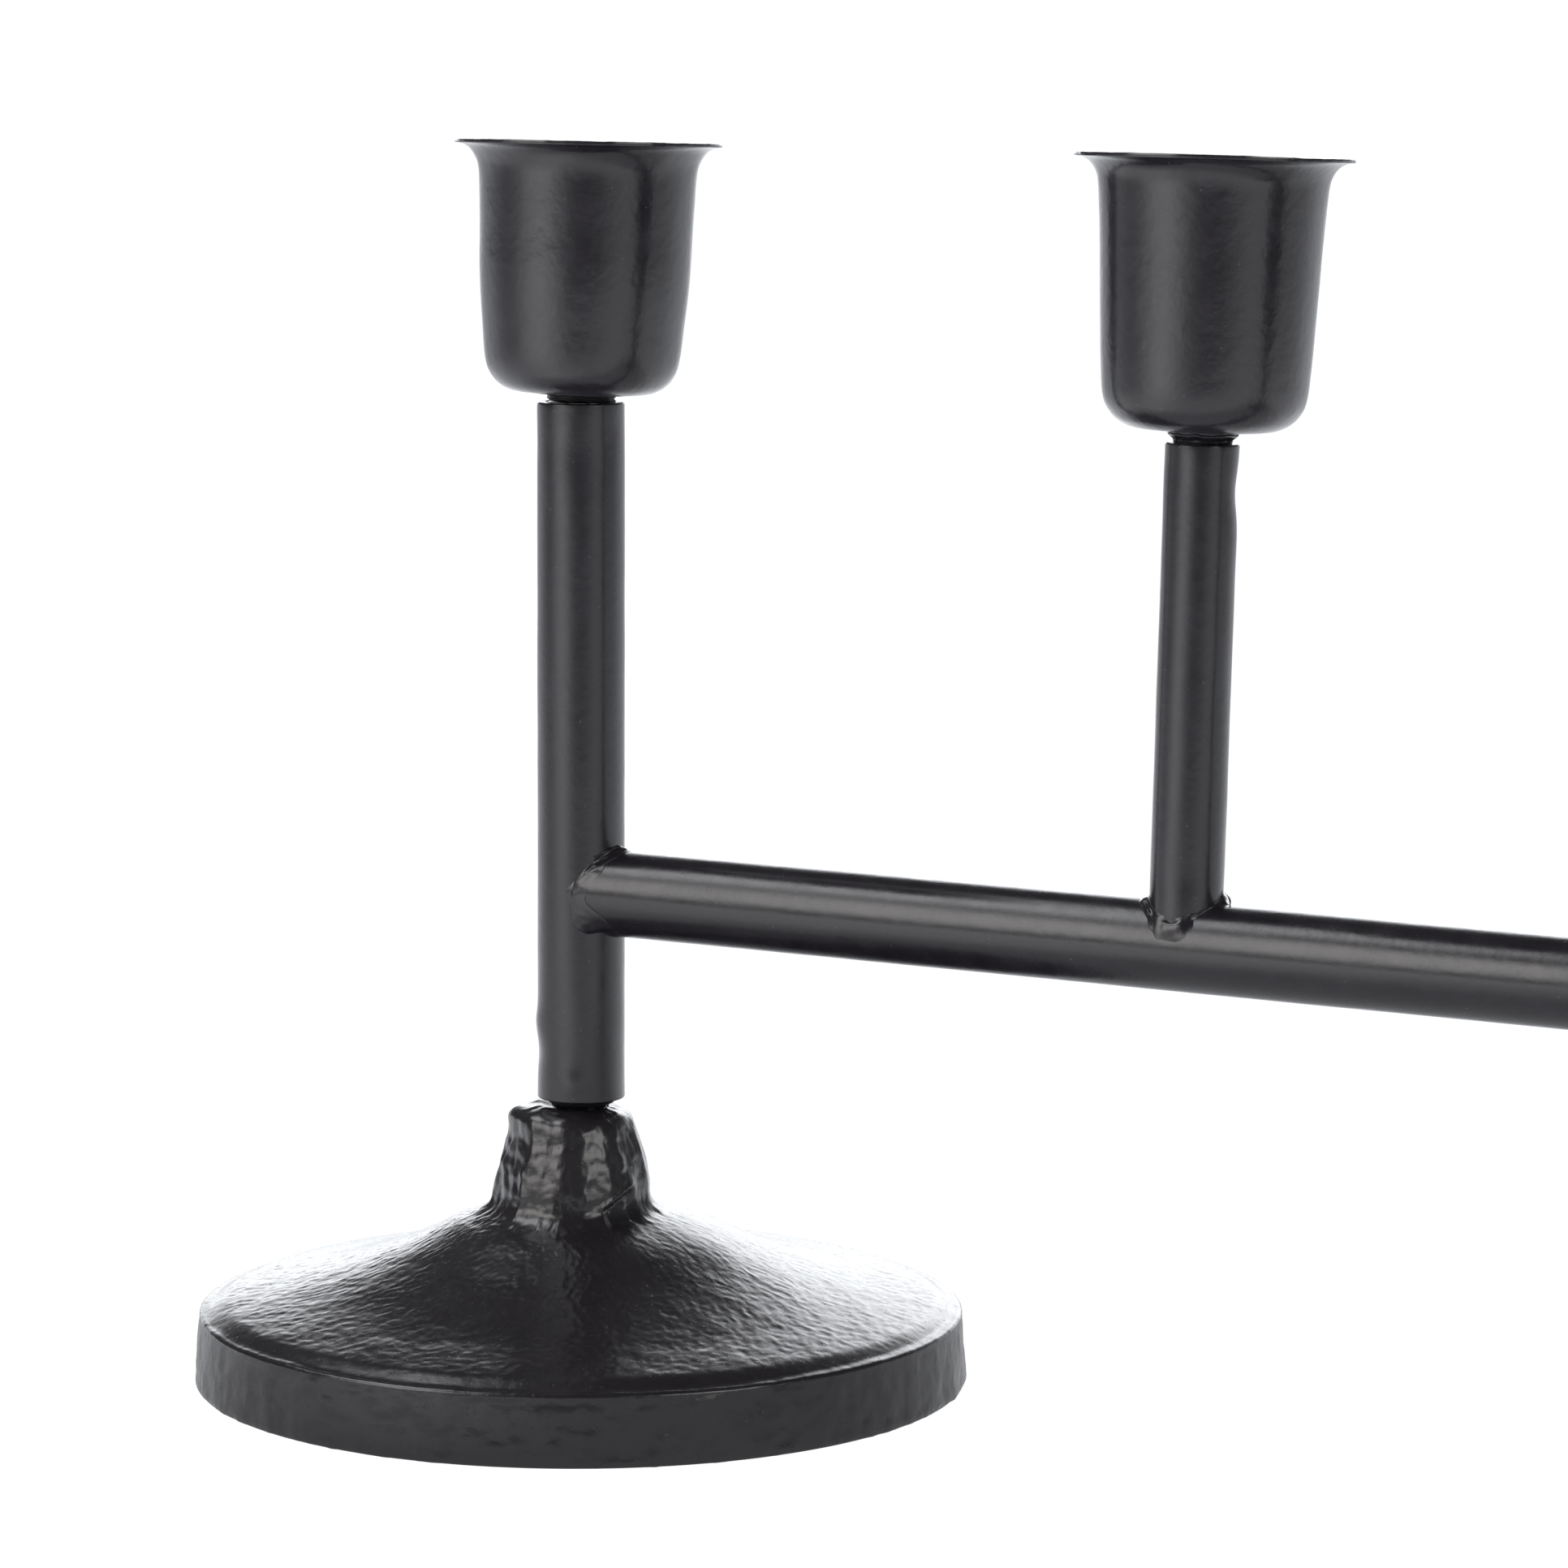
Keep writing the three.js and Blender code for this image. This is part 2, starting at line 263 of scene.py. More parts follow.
def make_mesh(name, points, material, nodes, smooth_angle=0, capped=False, extra=None):
    """A mesh object in place of CAD nodes, from a grid of points in millimetres.

    The grid wraps round its columns. It wraps round its rows too, or is capped at its first and
    last row. extra is the points and faces of one more closed surface."""
    rows, columns = points.shape[:2]
    faces = closed_grid_faces(rows, columns, close_rows=not capped)
    points = points.reshape(-1, 3)
    if extra is not None:
        faces = np.concatenate([faces, extra[1] + len(points)])
        points = np.concatenate([points, extra[0]])
    first = np.arange(columns)
    caps = [first[::-1], first + (rows - 1) * columns] if capped else []
    corner = points[faces]
    fan = np.cross(corner[:, 1] - corner[:, 0], corner[:, 2] - corner[:, 0])
    fan += np.cross(corner[:, 2] - corner[:, 0], corner[:, 3] - corner[:, 0])
    if np.sum(fan * corner[:, 0]) < 0 and not capped:
        faces = faces[:, ::-1]
    mesh = bpy.data.meshes.new(name)
    loops = np.concatenate([faces.ravel(), *caps])
    sizes = np.array([4] * len(faces) + [len(ring) for ring in caps])
    mesh.vertices.add(len(points))
    mesh.vertices.foreach_set("co", (points * MM).ravel())
    mesh.loops.add(len(loops))
    mesh.loops.foreach_set("vertex_index", loops.astype(np.int32))
    mesh.polygons.add(len(sizes))
    mesh.polygons.foreach_set("loop_start", (np.cumsum(sizes) - sizes).astype(np.int32))
    mesh.update(calc_edges=True)
    if capped:
        work = bmesh.new()
        work.from_mesh(mesh)
        bmesh.ops.recalc_face_normals(work, faces=work.faces)
        work.to_mesh(mesh)
        work.free()
    mesh.shade_smooth()
    if smooth_angle:
        mesh.set_sharp_from_angle(angle=math.radians(smooth_angle))
    mesh.materials.append(material)
    piece = add_object(name, mesh)
    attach(piece, "root")
    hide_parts(*nodes)
    return piece


def spline(points, step):
    """A smooth open curve through points, as a centripetal Catmull-Rom spline."""
    points = np.asarray(points, float)
    ends = np.concatenate([[2 * points[0] - points[1]], points, [2 * points[-1] - points[-2]]])
    line = []
    for p0, p1, p2, p3 in zip(ends[:-3], ends[1:-2], ends[2:-1], ends[3:]):
        d1, d2, d3 = (max(np.linalg.norm(v), 1e-6) ** 0.5 for v in (p1 - p0, p2 - p1, p3 - p2))
        m1 = p2 - p1 + d2 * ((p1 - p0) / d1 - (p2 - p0) / (d1 + d2))
        m2 = p2 - p1 + d2 * ((p3 - p2) / d3 - (p3 - p1) / (d2 + d3))
        count = max(1, math.ceil(np.linalg.norm(p2 - p1) / step))
        t = (np.arange(count) / count)[:, None]
        line.append(
            (2 * t ** 3 - 3 * t ** 2 + 1) * p1 + (t ** 3 - 2 * t ** 2 + t) * m1
            + (3 * t ** 2 - 2 * t ** 3) * p2 + (t ** 3 - t ** 2) * m2
        )
    return np.concatenate(line + [points[-1:]])


def around_ring(angle, table):
    """Values at headings round a ring, eased between the (heading, value...) rows of a table."""
    table = sorted((row[0] % 360, *row[1:]) for row in table)
    table = [(table[-1][0] - 360, *table[-1][1:])] + table + [(table[0][0] + 360, *table[0][1:])]
    table = np.array(table)
    where = np.degrees(angle) % 360
    index = np.clip(np.searchsorted(table[:, 0], where, side="right") - 1, 0, len(table) - 2)
    start, end = table[index], table[index + 1]
    t = smooth(0, 1, (where - start[:, 0]) / (end[:, 0] - start[:, 0]))
    values = start[:, 1:] * (1 - t[:, None]) + end[:, 1:] * t[:, None]
    return values[:, 0] if values.shape[1] == 1 else values.T


# ---------------- camera, floor and light


def add_camera():
    camera = bpy.data.cameras.new("camera")
    camera.sensor_width = 36
    camera.lens = CAMERA_LENS
    camera.clip_start = 0.01
    camera.clip_end = 100
    place = add_object("camera", camera)
    turn = Matrix.Rotation(math.radians(VIEW_HEADING - 90), 4, "Z")
    tilt = Matrix.Rotation(math.radians(90 - CAMERA_PITCH), 4, "X")
    roll = Matrix.Rotation(math.radians(CAMERA_ROLL), 4, "Z")
    place.matrix_world = Matrix.Translation(CAMERA_PLACE) @ turn @ tilt @ roll
    bpy.context.scene.camera = place


# The studio as the object sees it, by heading from the camera's side towards the picture's left,
# in degrees, with brightness and warmth: white flats and table all round, brighter towards each
# softbox, and an unlit room behind the camera.
SURROUND = [
    (-180, 1.7, -0.7), (-171, 1.4, -0.8), (-158, 0.9, -0.9), (-142, 0.85, -0.9), (-121, 1.35, -1.0),
    (-98, 0.85, -0.8), (-76, 0.65, -0.5), (-58, 0.95, -0.2), (-42, 1.3, 0.0), (-24, 0.6, -0.2),
    (-9, 0.16, -0.4), (7, 0.16, -0.4), (22, 0.6, -0.3), (37, 2.4, 0.0), (50, 3.0, 0.1), (63, 2.3, -0.1),
    (80, 0.7, -0.5), (100, 0.5, -0.8), (122, 1.2, -1.1), (141, 0.8, -1.0), (158, 0.8, -0.9),
    (171, 1.3, -0.8), (180, 1.7, -0.7),
]
PEAK = 4.0


def tint(level, warmth):
    """A nearly neutral colour. Brightness is held as a fraction of PEAK, which a ramp can carry."""
    level = level / PEAK
    return (level * (1 + 0.035 * warmth), level, level * (1 - 0.055 * warmth), 1)


class Nodes:
    """Helpers that add shader nodes. An input is a number, a colour or another node's output."""

    def __init__(self, tree):
        self.nodes, self.links = tree.nodes, tree.links

    def put(self, socket, value):
        if isinstance(value, bpy.types.NodeSocket):
            self.links.new(value, socket)
        elif socket.type == "RGBA":
            socket.default_value = (*value[:3], 1)
        else:
            socket.default_value = value

    def add(self, kind, **inputs):
        node = self.nodes.new(f"ShaderNode{kind}")
        for key, value in inputs.items():
            self.put(node.inputs[key.replace("_", " ")], value)
        return node

    def math(self, operation, *values):
        node = self.add("Math")
        node.operation = operation
        for socket, value in zip(node.inputs, values):
            self.put(socket, value)
        return node.outputs["Value"]

    def plus(self, value, more, share):
        """value plus a share of more."""
        return self.math("ADD", value, self.math("MULTIPLY", more, share))

    def ramp(self, value, low, high, out_low=0.0, out_high=1.0, shape="LINEAR"):
        """Carries low to high over to out_low to out_high, and stops there."""
        node = self.add(
            "MapRange", Value=value, From_Min=low, From_Max=high, To_Min=out_low, To_Max=out_high
        )
        node.interpolation_type = shape
        return node.outputs["Result"]

    def window(self, value, start, end):
        """Eases from 0 at start to 1 at end."""
        return self.ramp(value, start, end, shape="SMOOTHSTEP")

    def blend(self, factor, first, second):
        node = self.add("Mix")
        node.data_type = "RGBA"
        self.put(node.inputs["Factor"], factor)
        colours = [socket for socket in node.inputs if socket.type == "RGBA"]
        for socket, value in zip(colours, (first, second)):
            self.put(socket, value)
        return next(socket for socket in node.outputs if socket.type == "RGBA")


class Studio(Nodes):
    """What the world, the floor and the lights share."""

    def __init__(self, tree):
        super().__init__(tree)
        self.nodes.clear()

    def along(self, vector, direction):
        node = self.add("VectorMath")
        node.operation = "DOT_PRODUCT"
        for socket, value in zip(node.inputs, (vector, direction)):
            self.put(socket, value)
        return node.outputs["Value"]

    def surround(self, vector):
        """The colour of SURROUND at the heading of a vector."""
        towards = self.along(vector, heading_vector(CAMERA_SIDE))
        left = self.along(vector, heading_vector(CAMERA_SIDE - 90))
        turn = self.ramp(self.math("ARCTAN2", left, towards), -math.pi, math.pi)
        ramp = self.add("ValToRGB", Fac=turn)
        ramp.color_ramp.interpolation = "B_SPLINE"
        stops = ramp.color_ramp.elements
        stops.remove(stops[1])
        for index, (heading, level, warmth) in enumerate(SURROUND):
            stop = stops[0] if index == 0 else stops.new((heading + 180) / 360)
            stop.position = (heading + 180) / 360
            stop.color = tint(level, warmth)
        return ramp.outputs["Color"]

    def seen_white(self, kind, output, colour):
        """White just past full to the camera, and colour to everything that reflects it."""
        shown = self.add(kind, Color=(1, 1, 1), Strength=1.02)
        felt = self.add(kind, Color=colour, Strength=PEAK)
        mix = self.add("MixShader", Fac=self.add("LightPath").outputs["Is Camera Ray"])
        self.put(mix.inputs[1], felt.outputs[0])
        self.put(mix.inputs[2], shown.outputs[0])
        self.add(output, Surface=mix.outputs["Shader"])


def add_floor():
    """A wide white table. It looks plain white, and its glow is painted light that lights the object's
    undersides, brighter towards each softbox, with a painted shadow near the bases and bar.
    """
    work = bmesh.new()
    bmesh.ops.create_grid(work, x_segments=24, y_segments=24, size=6.0)
    mesh = bpy.data.meshes.new("floor")
    work.to_mesh(mesh)
    work.free()
    floor = add_object("floor", mesh)
    material = bpy.data.materials.new("floor_white")
    material.use_nodes = True
    studio = Studio(material.node_tree)
    # Painted light: to reflections the floor glows by heading like SURROUND, brighter towards each
    # softbox. A brighter white band fades out between about 0.15 and 0.8 m from the bar.
    place = studio.add("TexCoord").outputs["Object"]
    shift = studio.add("Mapping", Vector=place, Location=(0.13, 0, 0)).outputs["Vector"]
    far = studio.surround(shift)
    middle = studio.blend(0.25, tint(1.55, -0.7), far)
    split = studio.add("SeparateXYZ", Vector=place)
    # How far a point of the floor is from the line between the two bases' centres, in metres.
    beyond = studio.math("SUBTRACT", studio.math("ABSOLUTE", split.outputs["X"]), RIGHT_X * MM)
    beyond = studio.math("MAXIMUM", beyond, 0.0)
    squares = [studio.math("POWER", value, 2.0) for value in (beyond, split.outputs["Y"])]
    away = studio.math("SQRT", studio.math("ADD", *squares))
    # Painted shadow: within about 0.05 to 0.14 m of the bases and bar the floor's glow dims to a darker
    # grey, standing in for the shade they cast on the table.
    near = studio.blend(studio.window(away, 0.05, 0.14), tint(0.7, -0.7), middle)
    light = studio.blend(studio.window(away, 0.15, 0.8), near, far)
    studio.seen_white("Emission", "OutputMaterial", light)
    material.cycles.emission_sampling = "NONE"
    mesh.materials.append(material)


# Where the softboxes point, in metres, and for each: its name, its heading from the camera's side
# and its rise in degrees, its distance, width and height in metres, its radiance and its warmth.
LIT_MIDDLE = (-0.1, 0, 0.06)
SOFTBOXES = [
    ("key_left", 58, 27, 1.25, 1.15, 1.2, 3.8, 0.5),
    ("top_left", 104, 57, 1.25, 1.15, 0.75, 4.0, -0.5),
    ("fill_right", -43, 24, 1.25, 0.9, 0.9, 3.4, 0.4),
    ("back_right", -163, 24, 1.4, 0.6, 0.8, 1.8, -0.6),
]


def add_softbox(name, heading, rise, distance, width, tall, radiance, warmth):
    """A softbox whose edges fade out."""
    light = bpy.data.lights.new(name, "AREA")
    light.shape = "RECTANGLE"
    light.size = width
    light.size_y = tall
    light.energy = 4 * width * tall * radiance
    light.color = tint(PEAK, warmth)[:3]
    light.use_nodes = True
    studio = Studio(light.node_tree)
    flat = studio.add("NewGeometry").outputs["Parametric"]
    split = studio.add("SeparateXYZ", Vector=flat)
    fade = 1.0
    for value in (split.outputs["X"], split.outputs["Y"]):
        for outside, inside in ((0.0, 0.35), (1.0, 0.65)):
            fade = studio.math("MULTIPLY", fade, studio.window(value, outside, inside))
    glow = studio.add("Emission", Strength=fade)
    studio.add("OutputLight", Surface=glow.outputs[0])
    place = add_object(name, light)
    level = heading_vector(CAMERA_SIDE - heading) * math.cos(math.radians(rise))
    reach = Vector(level) + Vector((0, 0, math.sin(math.radians(rise))))
    place.location = Vector(LIT_MIDDLE) + reach * distance
    place.rotation_euler = (-reach).to_track_quat("-Z", "Y").to_euler()
    place.visible_camera = False


def add_world():
    """White to the camera. To the object it is pale flats low down all round, under a dark room."""
    world = bpy.data.worlds.new("studio")
    bpy.context.scene.world = world
    world.use_nodes = True
    studio = Studio(world.node_tree)
    direction = studio.add("TexCoord").outputs["Generated"]
    height = studio.add("SeparateXYZ", Vector=direction).outputs["Z"]
    behind = studio.along(direction, heading_vector(VIEW_HEADING))
    left = studio.along(direction, heading_vector(IMAGE_LEFT))
    low = studio.blend(studio.window(behind, 0.5, 0.9), tint(0.22, -0.5), studio.surround(direction))
    low = studio.blend(studio.window(behind, 0.76, 0.97), low, tint(3.4, -0.6))
    # The white flat behind the object stands lower on the left than on the right.
    cut = studio.plus(height, studio.window(left, -0.15, 0.7), 0.5)
    flats = studio.blend(studio.window(cut, 0.6, 0.38), tint(0.08, -0.5), low)
    studio.seen_white("Background", "OutputWorld", flats)


# ---------------- materials


class Surface(Nodes):
    """A principled material.

    Texture sizes are given per millimetre, in the row frame, so grain keeps its real size."""

    def __init__(self, name, **values):
        self.material = bpy.data.materials.new(name)
        self.material.use_nodes = True
        super().__init__(self.material.node_tree)
        self.shader = self.nodes["Principled BSDF"]
        self.feed(**values)
        self.place = self.mapped(self.add("TexCoord").outputs["Object"], Scale=(1000, 1000, 1000))

    def feed(self, **values):
        for key, value in values.items():
            self.put(self.shader.inputs[key.replace("_", " ")], value)

    def mapped(self, place, **values):
        return self.add("Mapping", Vector=place, **values).outputs["Vector"]

    def noise(self, per_mm, detail=3, roughness=0.5, stretch=None):
        place = self.mapped(self.place, Scale=stretch) if stretch else self.place
        node = self.add("TexNoise", Vector=place, Scale=per_mm, Detail=detail, Roughness=roughness)
        return node.outputs["Fac"]

    def specks(self, per_mm, size, seed=0.0):
        """1 inside small round specks scattered over the surface, 0 elsewhere."""
        place = self.mapped(self.place, Location=(seed, seed * 2, -seed))
        cells = self.add("TexVoronoi", Vector=place, Scale=per_mm)
        return self.ramp(cells.outputs["Distance"], size, size * 0.5)

    def middling(self, noise, low=0.0, high=1.0):
        """The middle range of a noise, spread from low to high."""
        return self.ramp(noise, 0.3, 0.7, low, high)

    def bumps(self, *layers):
        """Each layer is (height output, strength, depth in millimetres)."""
        below = {}
        for height, strength, depth in layers:
            node = self.add("Bump", Height=height, Strength=strength, Distance=depth * MM, **below)
            below = {"Normal": node.outputs["Normal"]}
        self.feed(**below)


def satin_black(name, base=(0.011, 0.0095, 0.0125), rough=(0.21, 0.28), dust=1.0, peel=0.05):
    """Satin black paint: a fine orange peel, patches that dried flatter, dust nibs and faint rubs."""
    surface = Surface(name, Metallic=0.0, IOR=1.5)
    patches = surface.noise(0.35, detail=4)
    fine = surface.noise(2.6, detail=3)
    nibs = surface.specks(0.55, 0.07)
    motes = surface.specks(1.15, 0.05, seed=41.0)
    rubs = surface.noise(0.5, detail=6, roughness=0.7, stretch=(1.0, 1.0, 0.12))
    rubs = surface.ramp(rubs, 0.68, 0.76)
    tone = surface.blend(surface.middling(patches), base, tuple(1.35 * c for c in base))
    dusty = surface.math("MULTIPLY", surface.math("MAXIMUM", nibs, motes), 0.35 * dust)
    tone = surface.blend(dusty, tone, (0.14, 0.135, 0.13))
    matt = surface.middling(patches, *rough)
    matt = surface.plus(surface.plus(matt, rubs, 0.07), dusty, 0.4)
    matt = surface.math("ADD", matt, surface.middling(fine, -0.02, 0.02))
    surface.feed(Base_Color=tone, Roughness=matt)
    surface.bumps(
        (surface.noise(0.75, detail=2), 0.5, peel), (surface.noise(3.5, detail=2), 0.25, 0.01)
    )
    return surface.material


def cast_black(name):
    """The same paint over a sand-cast skin: more grain in the gloss and pits that hold less paint."""
    surface = Surface(name, Metallic=0.0, IOR=1.5)
    patches = surface.noise(0.2, detail=5)
    grain = surface.noise(1.5, detail=4, roughness=0.6)
    pits = surface.specks(0.8, 0.16, seed=7.0)
    nibs = surface.specks(0.7, 0.055, seed=23.0)
    thin, full = (0.0115, 0.0098, 0.0118), (0.0155, 0.0135, 0.0162)
    tone = surface.blend(surface.middling(patches), thin, full)
    tone = surface.blend(surface.math("MULTIPLY", nibs, 0.3), tone, (0.13, 0.12, 0.11))
    matt = surface.plus(surface.middling(grain, 0.2, 0.28), pits, 0.12)
    surface.feed(Base_Color=tone, Roughness=matt)
    surface.bumps(
        (grain, 0.5, 0.05), (surface.noise(5.0, detail=3), 0.35, 0.012), (pits, 0.35, -0.03)
    )
    return surface.material


def zinc_plate(name):
    """Bright zinc plate, a little mottled, with fine turning marks."""
    surface = Surface(name, Metallic=1.0)
    mottle = surface.noise(0.9, detail=4)
    marks = surface.noise(6.0, detail=2, stretch=(0.15, 0.15, 1.0))
    tone = surface.blend(surface.middling(mottle), (0.52, 0.53, 0.55), (0.66, 0.66, 0.65))
    surface.feed(Base_Color=tone, Roughness=surface.middling(mottle, 0.24, 0.42))
    surface.bumps((marks, 0.25, 0.01), (mottle, 0.15, 0.01))
    return surface.material


def wool_felt(name):
    """Black pressed felt: matted fibres with a soft sheen."""
    surface = Surface(name, Metallic=0.0, Roughness=0.95, Sheen_Weight=0.35, Sheen_Roughness=0.5)
    clumps = surface.noise(0.8, detail=5, roughness=0.65)
    fibres = surface.noise(5.0, detail=4, roughness=0.75, stretch=(1.0, 0.35, 1.0))
    tone = surface.blend(surface.middling(clumps), (0.012, 0.012, 0.013), (0.03, 0.03, 0.032))
    surface.feed(Base_Color=tone)
    surface.bumps((clumps, 0.5, 0.12), (fibres, 0.8, 0.09))
    return surface.material


PAINT = satin_black("satin_black_tube")
CUP_PAINT = satin_black("satin_black_cup", rough=(0.19, 0.25), dust=0.8, peel=0.09)
IRON_PAINT = cast_black("satin_black_casting")
ZINC = zinc_plate("zinc_plate")
FELT = wool_felt("black_felt")


# ---------------- bases


# The casting's face from the boss's bore out to the rim, (radius, height) in mm.
BOSS_FACE = [
    (3.2, 31.6), (3.9, 31.8), (4.9, 31.62), (5.9, 31.3), (6.5, 30.95), (6.84, 30.4), (7.15, 29.6),
    (7.42, 28.75), (7.88, 27.3), (8.25, 25.9), (8.6, 24.4), (8.9, 23.0), (9.08, 21.7), (9.3, 20.9),
    (9.8, 20.15), (10.7, 19.5), (12.0, 18.98), (13.4, 18.58), (15.0, 17.98), (17.0, 17.1), (19.0, 16.14),
    (20.6, 15.38), (21.8, 14.86), (23.0, 14.38), (25.0, 13.62), (29.0, 12.26), (33.0, 11.15),
    (37.0, 10.3), (40.0, 9.68), (41.4, 9.35), (42.4, 8.85), (43.2, 8.4), (43.7, 8.22), (44.05, 8.2),
    (44.3, 8.0), (44.36, 7.6),
]


def base_outlines():
    """The casting's outer face from rim to bore, and its underside back to the rim, in mm."""
    skirt = rounded_outline([(41.5, 0, 0), (44.85, 0, 0.35), (44.9, 0.7, 0.35), (44.36, 7.6, 0)], 0.4)
    face = spline(BOSS_FACE[::-1], 0.38)
    under = rounded_outline(
        [
            (3.2, 31.6, 0), (3.2, 11, 0), (9, 11, 1), (20, 9.6, 4), (37.5, 4.6, 2), (38.5, 1.5, 0),
            (41.5, 1.5, 0), (41.5, 0, 0),
        ],
        2.2,
    )
    return np.concatenate([skirt, face[1:]]), under


def cast_relief(points, radius, height, seed):
    """How far the sand-cast skin stands off the drawn outline, in millimetres along the normal."""
    wander, crest, coarse = Noise(seed), Noise(seed + 1), Noise(seed + 2)
    plate = smooth(42.6, 40.6, radius) * smooth(20.6, 22.6, radius) * (height > 8)
    dome = smooth(22.6, 20.6, radius) * smooth(9.8, 12.5, radius) * (height > 8)
    band = smooth(40.6, 42.6, radius) * (height > 7.5)
    wall = (height <= 7.5) * smooth(44.0, 44.3, radius)
    warp = np.stack([wander(points * 0.35 + 5 * k) for k in range(3)], -1)
    ridges = crest.ridged(points * 0.62 + warp * 0.8) - 0.35
    fine = crest.layered(points * 1.3 + 31, 3)
    swell = coarse.layered(points * 0.16, 2)
    mottle = coarse.layered(points * [0.22, 0.22, 0.35] + 8, 3)
    relief = plate * (0.055 * ridges + 0.055 * fine + 0.10 * swell)
    relief += dome * (0.03 * ridges + 0.06 * fine + 0.12 * swell)
    relief += band * (0.035 * fine + 0.07 * swell)
    streaks = coarse.layered(points * [0.3, 0.3, 0.12] + 17, 3)
    relief += wall * (0.03 * fine + 0.16 * mottle + 0.12 * streaks)
    return relief


# Facets left by fettling the boss, as (from, to, way it faces), headings from its front in degrees.
BOSS_FACETS = [
    (-180, -135, -158), (-135, -90, -112), (-90, -39, -66), (-39, -6, -27), (-6, 10, 3), (10, 31, 21),
    (31, 46, 38), (46, 58, 72), (58, 84, 64), (84, 110, 92), (110, 145, 128), (145, 180, 162),
]


def facet_wave(heading):
    """How far a fettled ring stands off a true circle of radius 1, at a heading in degrees."""
    steps = np.arange(-180, 180, 0.5)
    slope = np.zeros_like(steps)
    for start, end, faces in BOSS_FACETS:
        inside = (steps >= start) & (steps < end)
        slope[inside] = np.tan(np.radians(steps[inside] - faces))
    kernel = np.hanning(17)
    soft = np.convolve(np.tile(slope, 3), kernel / kernel.sum(), "same")[len(steps):2 * len(steps)]
    wave = np.cumsum(soft - soft.mean()) * math.radians(0.5)
    return np.interp(heading, steps, wave - wave.mean(), period=360)


def boss_skin(points, angle, height, radius, seed, turn):
    """The boss: fettled facets with ripples across them, file strokes on one side, and a lap."""
    rough = Noise(seed + 4)
    turned = angle_gap(angle, turn)
    wobble = 9 * rough(points * [0.1, 0.1, 0.28]) + 7 * rough(points * 0.5 + 3)
    relief = 0.75 * radius * facet_wave(turned + wobble)
    relief = relief * smooth(31.4, 29.8, height) * smooth(18.6, 21.5, height)
    sway = rough(points * [0.5, 0.5, 0.3] + 9)
    ripple = 1 - np.abs(np.sin(math.pi * (height / 1.3 + 0.011 * turned + 1.4 * sway)))
    relief += 0.04 * (ripple ** 1.5 - 0.35) * smooth(80, 55, np.abs(turned))
    relief += 0.14 * rough.layered(points * 0.55 + 5, 2)
    along = radius * np.radians(turned)
    across_stroke = along * 0.53 - height * 0.85
    down_stroke = along * 0.85 + height * 0.53
    strokes = np.stack([across_stroke * 1.5, down_stroke * 0.42, turned * 0 + 2], -1)
    relief += 0.035 * bump(turned, -64, 24) * rough.layered(strokes, 2)
    lap = turned - 40
    ledge = 22.3 + 0.07 * lap + 0.25 * rough(points * [0.4, 0.4, 0.1] + 6)
    recess = smooth(0.3, -0.2, height - ledge) * smooth(18.2, 20.4, height)
    relief -= 0.7 * recess * smooth(-17, -9, lap) * smooth(20, 8, lap)
    relief += 0.22 * bump(height, ledge + 0.3, 0.3) * smooth(-20, -12, lap) * smooth(22, 12, lap)
    return relief


def base_casting(name, node, stud_node, seed, turn):
    """One sand-cast base. turn is the heading that its fettled side faces."""
    axis_x = centre_mm(stud_node)[0]
    outer, under = base_outlines()
    outline = np.concatenate([outer, under[1:-1]])
    radius, angle, height = revolve(outline, around=720)
    normal = outline_normals(outline)
    points = cartesian(radius, angle, height)
    shown = (np.arange(len(outline)) < len(outer) - 2)[:, None] & (height > 0.05)
    relief = cast_relief(points, radius, height, seed)
    boss = smooth(13.0, 9.9, radius) * (height > 15)
    relief = relief + boss * boss_skin(points, angle, height, radius, seed, turn)
    foot = bump(radius, 10.9, 1.2) * (height > 15)
    rough_foot = 0.6 + 0.6 * bump(angle_gap(angle, turn), -60, 45)
    toes = Noise(seed + 8).layered(points * 0.8, 3)
    relief = relief + foot * rough_foot * (0.17 * toes + 0.05)
    crown = smooth(7.6, 6.6, radius) * (height > 28)
    ahead = angle_gap(angle, turn)
    turn_by = np.radians(ahead)
    tilt = 0.28 - 0.35 * radius / 7 * (0.75 * np.sin(turn_by) + 0.2 * np.cos(turn_by))
    horn = 0.35 * bump(ahead, -82, 16) * bump(radius, 6.6, 0.8)
    relief = relief + crown * (tilt + horn)
    relief = relief + 0.2 * crown * Noise(seed + 7).layered(points * 0.36, 2)
    fade_bore = smooth(3.3, 4.2, radius)
    relief = np.where(shown, relief * fade_bore, 0)
    ring = cartesian(9, angle, 0)
    nick = Noise(seed + 6).layered(ring, 3)
    slow = Noise(seed + 9)(ring * 0.25)
    lip = bump(height, 8.15, 0.45) * (radius > 43.2)
    relief = relief + lip * (0.10 * nick + 0.16 * slow + 0.05) * shown
    moved_r = radius + relief * normal[:, 0:1]
    moved_z = height + relief * normal[:, 1:2]
    moved = cartesian(np.minimum(moved_r, 44.98), angle, np.maximum(moved_z, 0))
    # The boss was cast off the plate's centre, and it leans a little towards its bore.
    shift = (1.0 + 0.2 * smooth(26.0, 20.5, moved_z)) * smooth(16.8, 19.5, moved_z) * shown * fade_bore
    off = heading_vector(turn - 90)
    moved[..., 0] += shift * off[0] + axis_x
    moved[..., 1] += shift * off[1]
    make_mesh(name, moved, IRON_PAINT, [node])


